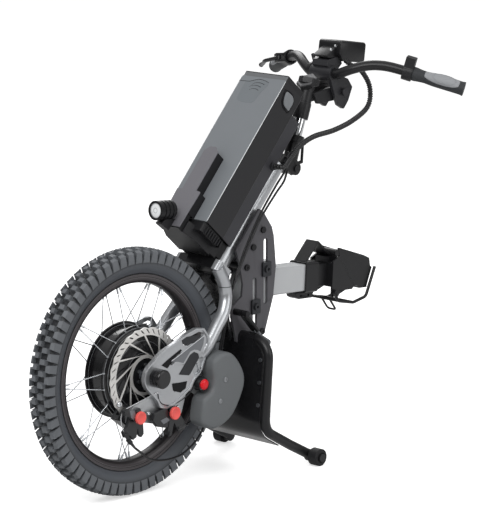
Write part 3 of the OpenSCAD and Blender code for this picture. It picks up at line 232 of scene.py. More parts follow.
def coat(name, colour, rough=0.4, metal=0.0, tone=0.06, spread=0.06, grain=900.0,
        depth=0.02, clear=0.0, patch=9.0, speck=0.0, spec=0.3):
    """A coat or bare surface: slow changes of tone and gloss over a fine grain"""
    m = bpy.data.materials.new(name)
    m.use_nodes = True
    t = m.node_tree
    face = t.nodes["Principled BSDF"]
    place = net(t, "ShaderNodeTexCoord")
    slow = net(t, "ShaderNodeTexNoise", Scale=patch, Detail=4.0, Roughness=0.6)
    fine = net(t, "ShaderNodeTexNoise", Scale=grain, Detail=2.0)
    t.links.new(place.outputs["Object"], slow.inputs["Vector"])
    t.links.new(place.outputs["Object"], fine.inputs["Vector"])
    base = linear(colour)
    shade = net(t, "ShaderNodeMix", data_type="RGBA")
    shade.inputs[6].default_value = [v * (1 - tone) for v in base[:3]] + [1]
    shade.inputs[7].default_value = [min(1, v * (1 + tone)) for v in base[:3]] + [1]
    if speck:
        dots = net(t, "ShaderNodeMath", operation="MULTIPLY_ADD")
        dots.inputs[1].default_value = speck
        t.links.new(fine.outputs["Fac"], dots.inputs[0])
        t.links.new(slow.outputs["Fac"], dots.inputs[2])
        t.links.new(dots.outputs[0], shade.inputs[0])
    else:
        t.links.new(slow.outputs["Fac"], shade.inputs[0])
    t.links.new(shade.outputs[2], face.inputs["Base Color"])
    gloss = net(t, "ShaderNodeMapRange",
        **{"To Min": max(0.02, rough - spread), "To Max": rough + spread})
    t.links.new(slow.outputs["Fac"], gloss.inputs["Value"])
    t.links.new(gloss.outputs[0], face.inputs["Roughness"])
    face.inputs["Metallic"].default_value = metal
    face.inputs["Specular IOR Level"].default_value = spec
    if clear:
        face.inputs["Coat Weight"].default_value = clear
        face.inputs["Coat Roughness"].default_value = 0.08
    if depth:
        bump = net(t, "ShaderNodeBump", Strength=depth, Distance=0.001)
        t.links.new(fine.outputs["Fac"], bump.inputs["Height"])
        t.links.new(bump.outputs[0], face.inputs["Normal"])
    return m


def piece_of(ob, material, body):
    """Finishes a piece: its material and the body it rides on"""
    ob.data.materials.clear()
    ob.data.materials.append(material)
    if body:
        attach(ob, body)
    return ob


sleeve_black = coat("loom sleeve", "#1c1c1e", rough=0.34, grain=1400, depth=0.03, spec=0.5)
loom_bends = [(644, -24, 875.6), (642.4, -24, 863), (650, -38, 848), (676, -48, 832),
    (697, -54, 795), (688, -57, 754), (637, -58, 728), (574, -58, 713), (511, -56, 706),
    (465, -56, 690), (430, -60, 668), (404, -68, 655), (396.9, -60, 653.4),
    (396.9, -46.2, 653.4)]
loom_route = smoothed([spot(*p) for p in loom_bends], 12)


def length_of(path):
    return sum((path[i + 1] - path[i]).length for i in range(len(path) - 1))


def evenly(path, step):
    """The same path with a point at every step of its length"""
    whole, out, done, i = length_of(path), [], 0.0, 0
    count = max(2, round(whole / step))
    for k in range(count + 1):
        far = whole * k / count
        while i < len(path) - 2 and done + (path[i + 1] - path[i]).length < far:
            done += (path[i + 1] - path[i]).length
            i += 1
        gap = (path[i + 1] - path[i]).length
        out.append(path[i].lerp(path[i + 1], min(1, (far - done) / gap) if gap else 0))
    return out


loom_points = evenly(loom_route, 0.0008)
rib_pitch, rib_top, rib_edge, rib_foot = 0.0052, 0.0060, 0.0056, 0.0047
loom_radii = []
for i in range(len(loom_points)):
    far = length_of(loom_route) * i / (len(loom_points) - 1)
    wave = (far / rib_pitch) % 1
    loom_radii.append(rib_top if 0.1 < wave < 0.5 else rib_edge if wave < 0.62 else rib_foot)
loom = piece_of(swept("loom_sleeve", loom_points, loom_radii, 18), sleeve_black, "steering")
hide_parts("cable_loom")

# ---------------------------------------------------------------- Brake cables
# Two black housings with a steel liner leave the left side of the column head and
# run down inside the fork's left leg. One goes on under the hub to the front caliper
# and turns up into its boot, the other ends at the rear caliper's barrel.

housing_black = coat("cable housing", "#1b1b1d", rough=0.32, grain=600, depth=0.01)
brake_runs = {
    "brake_cable_front": [(456, -24.4, 662), (455, -36, 660), (430, -47, 640),
        (400, -49, 613), (353, -50, 562), (321, -50, 518), (292, -50, 471), (264, -51, 417),
        (254, -51, 380), (240, -50, 330), (227, -50, 276), (208, -50, 200), (182, -50, 134),
        (150, -51, 95), (110, -54, 76), (77, -58, 72), (32, -64, 76), (-8, -70, 88),
        (-38, -76, 108), (-62.3, -78, 127), (-77.8, -78, 146.7)],
    "brake_cable_rear": [(449, -24.4, 652), (448, -32, 651), (442, -41, 640), (421, -51, 618),
        (392, -56, 598), (347, -57, 554), (315, -57, 510), (286, -57, 464), (256, -57, 412),
        (243, -57, 374), (228, -57, 330), (213, -57, 278), (200, -57, 224), (176, -57, 174),
        (133, -57, 146), (110, -62, 140), (101, -73, 142), (95, -77.6, 143.8),
        (88.3, -78, 144.6)],
}
for name, bends in brake_runs.items():
    route = evenly(smoothed([spot(*p) for p in bends], 8), 0.004)
    cable = piece_of(swept(name, route, 0.0024, 14), housing_black, "steering")
    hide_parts("brake_cables")

# ---------------------------------------------------------------- Tyre
# A 20 inch rubber tyre with a block tread: two rows of square shoulder blocks and
# staggered blocks between them. The carcass is painted darker in the gaps between the blocks and
# near the rim, as painted shade.


def far_from(t, centre, counted=(1, 1, 1)):
    """Distance from a place as a node output in metres, along the axes that are counted"""
    place = net(t, "ShaderNodeTexCoord")
    shift = net(t, "ShaderNodeVectorMath", operation="SUBTRACT")
    shift.inputs[1].default_value = centre
    flat = net(t, "ShaderNodeVectorMath", operation="MULTIPLY")
    flat.inputs[1].default_value = counted
    far = net(t, "ShaderNodeVectorMath", operation="LENGTH")
    t.links.new(place.outputs["Object"], shift.inputs[0])
    t.links.new(shift.outputs[0], flat.inputs[0])
    t.links.new(flat.outputs[0], far.inputs[0])
    return far.outputs["Value"]


def from_axle(t):
    return far_from(t, (axle_x, 0, axle_up / 1000), (1, 0, 1))


def ringed(m, stops):
    """Colours by distance from the axle: pairs of radius in mm and colour"""
    t = m.node_tree
    base = t.nodes["Principled BSDF"].inputs["Base Color"]
    first, last = stops[0][0], stops[-1][0]
    high = net(t, "ShaderNodeMapRange", **{"From Min": first / 1000, "From Max": last / 1000})
    ramp = net(t, "ShaderNodeValToRGB")
    t.links.new(from_axle(t), high.inputs["Value"])
    t.links.new(high.outputs[0], ramp.inputs[0])
    marks = ramp.color_ramp.elements
    marks[0].color, marks[1].color = linear(stops[0][1]), linear(stops[-1][1])
    for r, colour in stops[1:-1]:
        marks.new((r - first) / (last - first)).color = linear(colour)
    mix = net(t, "ShaderNodeMix", data_type="RGBA")
    mix.inputs[0].default_value = 0.85
    t.links.new(base.links[0].from_socket, mix.inputs[6])
    t.links.new(ramp.outputs[0], mix.inputs[7])
    t.links.new(mix.outputs[2], base)
    return m


def turned(name, outline, segments=180, closed=True, at=(0, 0), teeth=0.0):
    """A ring round the axle, or a line beside it, from an outline of radius and place across"""
    n = len(outline)
    verts = []
    for k in range(segments):
        a = 2 * math.pi * k / segments
        bite = teeth * (1 if k % 4 < 2 else -1)
        for r, w in outline:
            out = r + bite * (r > 9)
            verts.append(spot(at[0] + out * math.cos(a), w, axle_up + at[1] + out * math.sin(a)))
    faces = [(k * n + i, k * n + (i + 1) % n, (k + 1) % segments * n + (i + 1) % n,
        (k + 1) % segments * n + i)
        for k in range(segments) for i in range(n if closed else n - 1)]
    return built(name, verts, faces)


knobs_round = 68


def blocks(verts, faces, shape, turn):
    """One row of tread blocks: corners of radius and width, with each corner's share"""
    pitch = 2 * math.pi / knobs_round
    n = len(shape)
    for k in range(knobs_round):
        first = len(verts)
        for r, w, share in shape:
            for side in (-1, 1):
                a = (k + turn + side * share / 2) * pitch
                verts.append(spot(r * math.cos(a), w, axle_up + r * math.sin(a)))
        quads = [(2 * i, 2 * i + 1, (2 * i + 3) % (2 * n), (2 * i + 2) % (2 * n)) for i in range(n)]
        ends = [tuple(range(2 * n - 2, -1, -2)), tuple(range(1, 2 * n, 2))]
        flip = shape[0][1] > shape[1][1]
        faces += [tuple(first + i for i in (reversed(q) if flip else q)) for q in quads + ends]


half_wall = [(203.4, 9), (203.4, 14.4), (209.2, 14.8), (209.8, 16.6), (212, 18.2), (214, 18.9),
    (214.8, 19.9), (216.0, 20.5), (220, 23.2), (225, 25.6), (230, 27.0), (235, 27.3), (240, 26.6),
    (243, 25.4), (246.5, 23.4), (249.6, 20.4), (251.6, 16), (252.6, 11), (253.0, 5)]
carcass = turned("tyre_carcass", half_wall + [(253.1, 0)]
    + [(r, -w) for r, w in reversed(half_wall)], 216)
block_verts, block_faces = [], []
for side in (-1, 1):
    blocks(block_verts, block_faces, [(249, 19.4 * side, 0.46), (243, 23.8 * side, 0.66),
        (231.5, 26.8 * side, 0.9), (239, 28.4 * side, 0.8), (255.6, 28.4 * side, 0.68),
        (259.8, 20.6 * side, 0.56)], 0.25 * side)
    blocks(block_verts, block_faces, [(250, 2.6 * side, 0.52), (249, 17.0 * side, 0.52),
        (260.8, 15.6 * side, 0.46), (262.3, 3.4 * side, 0.46)], 0.5 + 0.25 * side)
tread = built("tyre_tread", block_verts, block_faces, 30)
soften = tread.modifiers.new("moulded edges", "BEVEL")
soften.width, soften.segments, soften.limit_method = 0.0006, 2, "ANGLE"
soften.angle_limit = math.radians(25)
# carcass colours by radius: painted shade darkens it near the rim and, from 233 mm out, in the gaps
# between the tread blocks
piece_of(carcass, ringed(coat("sidewall rubber", "#4e5156", rough=0.5, spread=0.1, tone=0.1,
    depth=0.05, patch=30, spec=0.5),
    [(200, "#34363a"), (208.5, "#3a3c40"), (211, "#4c4f55"), (222, "#50545a"), (229, "#46494e"),
    (233, "#222427"), (263, "#17181a")]), "wheel")
piece_of(tread, coat("tread rubber", "#66696d", rough=0.62, spread=0.1, tone=0.16, grain=800,
    depth=0.1, patch=60, spec=0.4), "wheel")
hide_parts("tyre")

# ---------------------------------------------------------------- Rim and spokes
# A black anodised rim with thin bright lines of painted highlight along its lip, and thirty-six
# steel spokes laced from black nipples in the rim to bright heads in the hub flanges.


def dress(node, material, edge=0.0):
    """Gives a carried-over node its material, smooth curves and a small round on its edges"""
    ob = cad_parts[node]
    for slot in range(len(ob.data.materials)):
        ob.data.materials[slot] = material
    if len(ob.data.materials) == 0:
        ob.data.materials.append(material)
    ob.data.polygons.foreach_set("use_smooth", [True] * len(ob.data.polygons))
    ob.modifiers.new("one skin", "WELD").merge_threshold = 0.000002
    if edge:
        round_off = ob.modifiers.new("broken edges", "BEVEL")
        round_off.width, round_off.segments, round_off.limit_method = edge / 1000, 2, "ANGLE"
        round_off.angle_limit = math.radians(35)
        round_off.use_clamp_overlap = False
        round_off.miter_outer = "MITER_ARC"
    ob.modifiers.new("crisp edges", "EDGE_SPLIT").split_angle = math.radians(32)
    ob.modifiers.new("even faces", "WEIGHTED_NORMAL").weight = 80


# the light lines at 200.6 and 206.8 mm are painted highlights along the lip
dress("rim", ringed(coat("black anodised rim", "#3c383a", rough=0.3, metal=0.2, grain=500,
    depth=0.01), [(180, "#201d1f"), (194, "#262324"), (195, "#464244"), (200.2, "#4a4648"),
    (200.6, "#8b8789"), (201, "#151415"), (202, "#151415"), (202.6, "#504c4e"), (206.4, "#4a4648"),
    (206.8, "#7d797b"), (207.2, "#1a191a"), (212, "#121112")]), 0.4)
dress("spokes", coat("spoke steel", "#c3c6ca", rough=0.22, metal=1.0, tone=0.04, grain=700,
    depth=0.01))

# ---------------------------------------------------------------- Hub motor
# A gloss black die-cast shell round the motor, with two bearings on the steel axle
# and a moulded cap over each axle nut.

# the thin light rings at the edges of the shell's steps are painted highlights
dress("hub_shell", ringed(coat("hub enamel", "#161618", rough=0.2, grain=160, clear=0.25),
    [(20, "#161618"), (45, "#161618"), (45.6, "#8a8c8f"), (46.4, "#19191b"), (70, "#161618"),
    (70.7, "#7d7f82"), (71.5, "#19191b"), (88.5, "#161618"), (89.2, "#a2a4a6"), (90.2, "#19191b"),
    (96, "#161618"), (97, "#8a8c8f"), (98, "#161618"), (110, "#161618")]), 0.6)
dress("hub_bearings", coat("bearing steel", "#b9bcc0", rough=0.25, metal=1.0, grain=800))
dress("motor_axle", coat("axle steel", "#8d9094", rough=0.35, metal=1.0, grain=700), 0.3)
dress("axle_caps", coat("cap plastic", "#1a1a1c", rough=0.22, clear=0.3), 3.0)

# ---------------------------------------------------------------- Brake rotor
# A wavy steel disc with slots and swept arms, cut from sheet and ground in rings. A
# black carrier in its middle is held to the hub by six steel bolts.


def ground_steel():
    m = coat("ground steel", "#e2e0dd", rough=0.34, metal=0.55, tone=0.04, grain=400, depth=0.0)
    t = m.node_tree
    face = t.nodes["Principled BSDF"]
    rings = net(t, "ShaderNodeTexNoise", Scale=2600.0, Detail=3.0)
    rings.noise_dimensions = "1D"
    t.links.new(from_axle(t), rings.inputs["W"])
    bump = net(t, "ShaderNodeBump", Strength=0.25, Distance=0.0004)
    t.links.new(rings.outputs["Fac"], bump.inputs["Height"])
    t.links.new(bump.outputs[0], face.inputs["Normal"])
    face.inputs["Anisotropic"].default_value = 0.4
    return m


def cut_sheet(name, outlines, at_y, thick):
    """A flat sheet across the wheel: an outer outline and the holes in it, in mm"""
    line = bpy.data.curves.new(name, "CURVE")
    line.dimensions, line.fill_mode, line.extrude = "2D", "BOTH", thick / 2000
    for outline in outlines:
        run = line.splines.new("POLY")
        run.points.add(len(outline) - 1)
        for point, (x, z) in zip(run.points, outline):
            point.co = (x / 1000, z / 1000, 0, 1)
        run.use_cyclic_u = True
    drawn = placed(name + "_line", line)
    bpy.context.view_layer.update()
    mesh = bpy.data.meshes.new_from_object(drawn)
    bpy.data.objects.remove(drawn)
    verts = [spot(v.co.x * 1000, at_y - v.co.z * 1000, axle_up + v.co.y * 1000)
        for v in mesh.vertices]
    return built(name, verts, [tuple(p.vertices) for p in mesh.polygons], 30)


def turn_at(r, degrees):
    return (r * math.cos(math.radians(degrees)), r * math.sin(math.radians(degrees)))


def arc_of(r, low, high, steps=6):
    return [turn_at(r, low + (high - low) * k / steps) for k in range(steps + 1)]


rotor_y = -48.5
rotor_outlines = [[turn_at(100.3 + 1.2 * math.cos(math.radians(24 * a)), a)
    for a in range(0, 360, 2)]]
for k in range(12):
    low_sweep, high_sweep = (-46, -59) if k % 2 == 0 else (-59, -46)
    rotor_outlines.append(arc_of(84.6, 30 * k + 1.5, 30 * k + 28.5)
        + arc_of(43, 30 * k + 30 + high_sweep - 4, 30 * k + low_sweep + 4, 4))
for k in range(36):
    top, foot = 10 * k + 6.6, 10 * k + 1.4
    rotor_outlines.append([turn_at(97.6, top - 1.2), turn_at(97.6, top + 1.2),
        turn_at(88.4, foot + 1.3), turn_at(88.4, foot - 1.3)])
rotor_outlines.append(arc_of(36, 0, 354, 59))
rotor = cut_sheet("rotor_band", rotor_outlines, rotor_y, 2.0)
piece_of(rotor, ground_steel(), "wheel")
bolt_holes = []
for k in range(6):
    bolt_x, bolt_z = turn_at(22, 60 * k + 30)
    bolt_holes.append([(x + bolt_x, z + bolt_z) for x, z in arc_of(2.2, 0, 330, 11)])
carrier = cut_sheet("rotor_carrier", [[turn_at(33.6 + 2.2 * math.cos(math.radians(6 * a)), a)
    for a in range(0, 360, 4)], arc_of(19, 0, 354, 59)] + bolt_holes, rotor_y, 1.9)
piece_of(carrier, coat("carrier black", "#1c1d1f", rough=0.36, metal=0.3, depth=0.03), "wheel")
for part in (rotor, carrier):
    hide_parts("rotor")
dress("rotor_bolts", coat("bolt steel", "#a9abae", rough=0.28, metal=1.0, grain=700), 0.2)

# ---------------------------------------------------------------- Fork
# Two swept aluminium legs and a pierced plate at each end of the axle, welded to a
# crown with the steerer in it, in a silver satin coat that is near black between the legs.
# Inlays, a groove and a raised edge show the pockets of each plate: the grey inlays are its
# recesses, the dark and black inlays are painted shade in its pockets and slit, and the groove
# is a dark tube of painted shade.


def painted(m, share, colour):
    """Lays a second colour over a material where the share is 1"""
    t = m.node_tree
    base = t.nodes["Principled BSDF"].inputs["Base Color"]
    mix = net(t, "ShaderNodeMix", data_type="RGBA")
    t.links.new(share, mix.inputs[0])
    t.links.new(base.links[0].from_socket, mix.inputs[6])
    mix.inputs[7].default_value = linear(colour)
    t.links.new(mix.outputs[2], base)
    return m


def beyond(m, way, start, end, square=False):
    """A share that goes from 0 to 1 between two distances in metres along a way"""
    t = m.node_tree
    place = net(t, "ShaderNodeTexCoord")
    along = net(t, "ShaderNodeVectorMath", operation="DOT_PRODUCT")
    along.inputs[1].default_value = way
    t.links.new(place.outputs["Object"], along.inputs[0])
    far = along.outputs["Value"]
    if square:
        size = net(t, "ShaderNodeMath", operation="ABSOLUTE")
        t.links.new(far, size.inputs[0])
        far = size.outputs[0]
    share = net(t, "ShaderNodeMapRange", **{"From Min": start, "From Max": end})
    t.links.new(far, share.inputs["Value"])
    return share.outputs[0]


def both_of(m, first, second):
    times = net(m.node_tree, "ShaderNodeMath", operation="MULTIPLY")
    m.node_tree.links.new(first, times.inputs[0])
    m.node_tree.links.new(second, times.inputs[1])
    return times.outputs[0]


silver_coat = coat("silver satin coat", "#b4b6b9", rough=0.28, metal=0.7, tone=0.03,
    grain=1600, depth=0.03)
fork_coat = coat("fork coat", "#b0b2b5", rough=0.28, metal=0.7, tone=0.03, grain=1600,
    depth=0.03)
# the crown and steerer between the legs, within 52 mm of the middle, are near black
painted(fork_coat, beyond(fork_coat, (0, 1, 0), 0.0525, 0.0515, square=True), "#232325")
painted(fork_coat, both_of(fork_coat, beyond(fork_coat, (0, 0, 1), 0.4172, 0.4178),
    beyond(fork_coat, (0, 0, 1), 0.4196, 0.4190)), "#4a4b4e")
dress("fork", fork_coat, 0.9)
# dark grey of painted shade for the plate pockets and the groove
pocket_shade = coat("painted pocket shade", "#2b2c2f", grain=1500, depth=0.04)
pocket_grey = coat("plate recess", "#77797d", rough=0.34, metal=0.5, grain=1500, depth=0.04)
# black of painted shade for the slit and the lowest pocket of each plate; also used for the rim
# round the lock cover
pocket_black = coat("pocket black", "#171719", rough=0.5, grain=1500, depth=0.04, spec=0.15)
pockets = [
    ("recess", pocket_grey, [(46, 25.6), (87, 41.4), (137.8, 61.5), (144, 62), (141, 47),
        (132.3, 33), (124, 37.5), (113.6, 40), (101.6, 37.5), (81.6, 16.6), (65.8, 22.1)]),
    ("pocket_top", pocket_shade, [(77.1, 66.1), (87.2, 71), (113.8, 70.6), (135, 68), (128, 61),
        (113.7, 55), (87.1, 53.4), (79.7, 58)]),
    ("slit", pocket_black, [(17, 22.9), (34.3, 31.6), (73.9, 48), (77, 44.1), (50, 29.2),
        (39.4, 17.8), (34.1, 13.4)]),
    ("pocket_middle", pocket_shade, [(67.6, -5.6), (101.6, 31), (113.6, 35.4), (125.6, 29.6),
        (128.6, 20.3), (102.7, -9.3), (97.4, -12.6)]),
    ("pocket_low", pocket_black, [(47.5, -22.3), (92, -23.8), (87.9, -38.4), (71.9, -45.1),
        (50.9, -37.5)]),
]
for name, material, outline in pockets:
    for side, far in (("left", -1), ("right", 1)):
        inlay = cut_sheet("%s_%s" % (name, side), [outline], 80.3 * far, 0.5)
        piece_of(inlay, material, "steering")
groove = [(133.5, -1.4), (125, -21), (115.9, -36.9), (98, -51.5), (78.5, -60.8), (49.3, -66.8),
    (24, -62.3), (10, -50.9), (6, -36)]
ridge = [(46, 27.2), (66, 34.6), (87.1, 43), (112, 53), (137.8, 63), (143, 65)]
for side, far in (("left", -1), ("right", 1)):
    # the groove: a dark tube of painted shade
    line = smoothed([spot(x, 80.4 * far, axle_up + z) for x, z in groove], 6)
    piece_of(swept("plate_groove_" + side, line, 0.0011, 8), pocket_shade, "steering")
    line = smoothed([spot(x, 80.5 * far, axle_up + z) for x, z in ridge], 6)
    piece_of(swept("plate_ridge_" + side, line, 0.0012, 8), silver_coat, "steering")

# ---------------------------------------------------------------- Mudguard
# A short guard behind the tyre, moulded in glossy black plastic. Two lugs hold it
# under the crown of the fork.

guard_black = coat("guard plastic", "#1a1a1c", rough=0.26, grain=700, depth=0.04, spec=0.4)
dress("mudguard", guard_black, 0.6)

# ---------------------------------------------------------------- Ballast
# Two cast weights in grey hammer paint beside the wheel, each on two capped screws,
# with a red push button in a black barrel that lets it go.

ballast_paint = coat("ballast paint", "#66696b", rough=0.5, grain=420, depth=0.22, patch=20,
    speck=0.5)
screw_steel = coat("screw steel", "#8f9194", rough=0.3, metal=0.8)
button_red = coat("button red", "#dc0a1c", rough=0.3, grain=700, depth=0.01, clear=0.2)
barrel_black = coat("barrel black", "#1a1a1c", depth=0.03)
kidney = [(152, 12), (165, 21), (184, 25), (207, 19), (228, -2), (243, -30), (243, -58), (226, -92),
    (207, -116), (182, -130), (152, -136), (126, -127), (114, -113), (117, -82), (124, -64),
    (143, -54), (150, -44), (152, -28), (149, -5)]


def looped(points, steps):
    """A closed outline smoothed through its points"""
    ring, n = [Vector((x, z, 0)) for x, z in points], len(points)
    return [(p.x, p.y) for i in range(n)
        for p in between(ring[i - 1], ring[i], ring[(i + 1) % n], ring[(i + 2) % n], steps)]


def cast_slab(name, outline, back, front, fillet, hand):
    """A cast body with a flat back and a large round on its front edge"""
    n, verts, ways = len(outline), [], []
    for i in range(n):
        (ax, az), (bx, bz) = outline[i - 1], outline[(i + 1) % n]
        long = math.hypot(bx - ax, bz - az)
        ways.append(((bz - az) / long, -(bx - ax) / long))
    rows = [(back, 1.2), (back + 1.2, 0)]
    rows += [(front - fillet + fillet * math.sin(math.radians(a)),
        fillet * (1 - math.cos(math.radians(a)))) for a in (0, 15, 30, 45, 60, 75, 90)]
    for y, inset in rows:
        verts += [spot(x + wx * inset, hand * y, axle_up + z + wz * inset)
            for (x, z), (wx, wz) in zip(outline, ways)]
    faces = skin(len(rows), n)
    if hand > 0:
        faces = [f[::-1] for f in faces]
    return built(name, verts, faces)


def capped_screw(name, at, way, r, h, material, body):
    """A round screw head with a hexagon recess, standing on a face"""
    way = Vector(way).normalized()
    path = [at, at + way * h * 0.72, at + way * h * 0.93, at + way * h, at + way * h,
        at + way * h * 0.5, at + way * h * 0.5]
    radii = [r, r, r * 0.9, r * 0.78, r * 0.46, r * 0.44, 0.00002]
    side = way.orthogonal().normalized()
    up = way.cross(side)
    verts = [p + (side * math.cos(math.pi * k / 6) + up * math.sin(math.pi * k / 6)) * size
        for p, size in zip(path, radii) for k in range(12)]
    return piece_of(built(name, verts, skin(len(path), 12)[:-1], 35), material, body)


button_at = (130, -36)
for side, hand in (("left", -1), ("right", 1)):
    weight = cast_slab("ballast_" + side, looped(kidney, 4), 66.2, 104.9, 9, hand)
    piece_of(weight, ballast_paint, "steering")
    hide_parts("ballast_weights")
    for k, (x, z) in enumerate(((183, -33), (167, -77))):
        capped_screw("ballast_screw_%s_%d" % (side, k), spot(x, 104.6 * hand, axle_up + z),
            (0, hand, 0), 0.0056, 0.0018, screw_steel, "steering")
    barrel = turned("button_barrel_" + side, [(12.1, 74 * hand), (14.8, 74 * hand),
        (14.8, 90 * hand), (14, 91.4 * hand), (12.3, 91.4 * hand)], 48, at=button_at)
    piece_of(barrel, barrel_black, "steering")
    push = turned("push_button_" + side, [(0.01, 98.6 * hand), (5, 98.3 * hand), (9, 97.2 * hand),
        (11, 95.6 * hand), (11.5, 94.3 * hand), (11.5, 93.4 * hand), (9, 93.4 * hand),
        (9, 75.3 * hand), (0.01, 75.3 * hand)], 48, closed=False, at=button_at)
    piece_of(push, button_red, side + "_button")
    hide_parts("ballast_button_" + side)

# ---------------------------------------------------------------- Brakes
# A steel bracket carries two cable calipers on the left side: black bodies with a
# sprung pull arm each, and a coral red dial that sets the pad's gap. The front cable
# ends in a rubber boot, and its bare wire runs on to a screw on the arm.

dress("brake_bracket", coat("zinc plate", "#b4b6b8", rough=0.36, metal=0.8, grain=500), 0.4)
caliper_black = coat("caliper enamel", "#1f2022", rough=0.3, grain=500, depth=0.03, spec=0.5)
dress("calipers", caliper_black, 0.8)
dress("pull_arm_front", caliper_black, 0.5)
dress("pull_arm_rear", caliper_black, 0.5)
knob_coral = coat("coral plastic", "#f2625c", rough=0.38, grain=500, depth=0.03)
for name, at in (("front", (-56.9, -72.9)), ("rear", (43.4, -81.7))):
    dial = turned("pad_dial_" + name, [(0.01, -96.2), (8.6, -96.2), (9.6, -96.9), (12.6, -96.9),
        (13.3, -96.2), (13.3, -90.4), (12.6, -89.6), (7.6, -89.6), (7.6, -84), (0.01, -84)], 96,
        closed=False, at=at, teeth=0.3)
    piece_of(dial, knob_coral, "steering")
    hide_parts("caliper_knobs")


def slab_faces(n):
    """Faces of a plate whose two sides have n corners each"""
    return [tuple(range(n)), tuple(reversed(range(n, 2 * n)))] + [
        (i, n + i, n + (i + 1) % n, (i + 1) % n) for i in range(n)]


def softened(ob, soft, crisp_angle):
    """Rounds the edges of a moulded body by so many millimetres"""
    ob.data.shade_smooth()
    round_off = ob.modifiers.new("moulded edges", "BEVEL")
    round_off.width, round_off.segments, round_off.limit_method = soft / 1000, 3, "ANGLE"
    ob.modifiers.new("crisp edges", "EDGE_SPLIT").split_angle = math.radians(crisp_angle)
    return ob


def slab_of(name, outline, back, front, soft, material):
    """A flat body across the wheel, from its outline beside the axle, with soft edges"""
    verts = [spot(x, y, axle_up + z) for y in (back, front) for x, z in outline]
    ob = softened(built(name, verts, slab_faces(len(outline)), 0), soft, 40)
    ob.modifiers.new("even faces", "WEIGHTED_NORMAL").weight = 80
    return piece_of(ob, material, "steering")


slab_of("caliper_rear_shell", [(-10.6, -73), (10.2, -69.8), (27, -70), (31, -78), (35, -86),
    (49, -99), (47, -107), (23, -111), (-3.1, -103.5), (-16, -88)], -77, -87.6, 2.2,
    caliper_black)
slab_of("caliper_rear_face", [(5.6, -91.7), (24, -88), (35, -95.5), (14.7, -101.1)],
    -86, -88.6, 0.6, pocket_grey)
slab_of("caliper_front_face", [(-85, -52), (-70, -55), (-66, -66), (-72, -76), (-80, -70)],
    -80, -89.6, 1.6, pocket_grey)

wire_steel = coat("bright wire", "#d4d6d8", rough=0.22, metal=0.9, grain=2400, depth=0.06)
boot_rubber = coat("boot rubber", "#2a2b2d", rough=0.5, depth=0.06)
boot_path = [spot(-79, -78, 145.5).lerp(spot(-58, -78, 122.4), k / 20) for k in range(21)]
boot_radii = [0.0052 if k in (0, 1, 3, 4, 6, 7) else 0.0044 if k < 9 else 0.0046 - 0.00012 * k
    for k in range(21)]
piece_of(swept("cable_boot", boot_path, boot_radii, 20), boot_rubber, "steering")
inner_wire = smoothed([spot(-88.6, -78, 160), spot(-97, -78.5, 178), spot(-100, -79.5, 196),
    spot(-96, -80.5, 211)], 8)
front_wire = piece_of(swept("inner_wire_front", inner_wire, 0.0008, 10), wire_steel, None)
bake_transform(front_wire)
rest_rod = [spot(-95.6, -81, 211).lerp(spot(4, -81, 231), k / 12) for k in range(13)]
piece_of(swept("return_wire", rest_rod, [0.0013] + [0.0009] * 11 + [0.0013], 10), wire_steel,
    "steering")
for name, at, r in (("anchor_screw", (-104, -77, 225), 0.0062),
        ("bracket_screw_a", (72, -71, 203), 0.0036), ("bracket_screw_b", (66, -76, 188), 0.0036),
        ("bracket_screw_c", (-20, -76, 190), 0.0036)):
    capped_screw(name, spot(*at), (0, -1, 0), r, 0.005, wire_steel, "steering")

# ---------------------------------------------------------------- Rail, dock and shield
# An extruded rail clamped to the steerer, a moulded socket for the battery at its
# foot, and a stepped sheet shield in front of it that carries the headlight.

dark_coat = coat("dark satin coat", "#424246", rough=0.42, metal=0.2, grain=1500, depth=0.04)
dress("battery_rail", dark_coat, 0.5)
dress("battery_dock", coat("dock plastic", "#1f1f21", rough=0.45, grain=700, depth=0.05,
    spec=0.22), 0.6)
dress("dock_shield", coat("shield coat", "#747378", metal=0.15, grain=1500, depth=0.04), 0.5)

# ---------------------------------------------------------------- Headlight
# A ringed black metal body on a saddle at the foot of the shield. Its moulded lens is
# milky, with a grey ring where the bowl behind it turns.

slope_run, slope_rise = 0.6691, 0.7431


def mast(x, y, z):
    """A place in the sloping frame of the steerer: ahead of it is -x, up along it is z"""
    return spot(250.23 + slope_run * z + slope_rise * x, y,
        433.31 + slope_rise * z - slope_run * x)


dress("headlight_body", coat("light body", "#1c1c1e", rough=0.3, metal=0.3), 0.3)
lens_middle, lens_radius = mast(-230, 0, 8), 0.017


def lens_white():
    m = coat("lens", "#f4f6f7", rough=0.12, grain=300, depth=0.0, clear=0.6, tone=0.02)
    t = m.node_tree
    ring = net(t, "ShaderNodeValToRGB")
    share = net(t, "ShaderNodeMapRange", **{"From Max": lens_radius})
    t.links.new(far_from(t, lens_middle), share.inputs["Value"])
    t.links.new(share.outputs[0], ring.inputs[0])
    marks = ring.color_ramp.elements
    marks[0].color, marks[1].color = (0, 0, 0, 1), (1, 1, 1, 1)
    for where, level in ((0.28, 0.0), (0.36, 0.5), (0.42, 0.05), (0.72, 0.0), (0.86, 0.35)):
        marks.new(where).color = (level, level, level, 1)
    return painted(m, ring.outputs[0], "#77797c")


dress("headlight_lens", lens_white())

# ---------------------------------------------------------------- Battery
# A long case in dark grey moulded plastic with black sides, a cap at its top end and a
# finger dish with three ribs. Thin bright strips along its edges are painted highlights, and a pale
# oval cover swings over the key lock.


def past(m, way, start, end):
    """A share that goes from 0 to 1 between two places along a way"""
    return beyond(m, way, start.dot(way), end.dot(way))


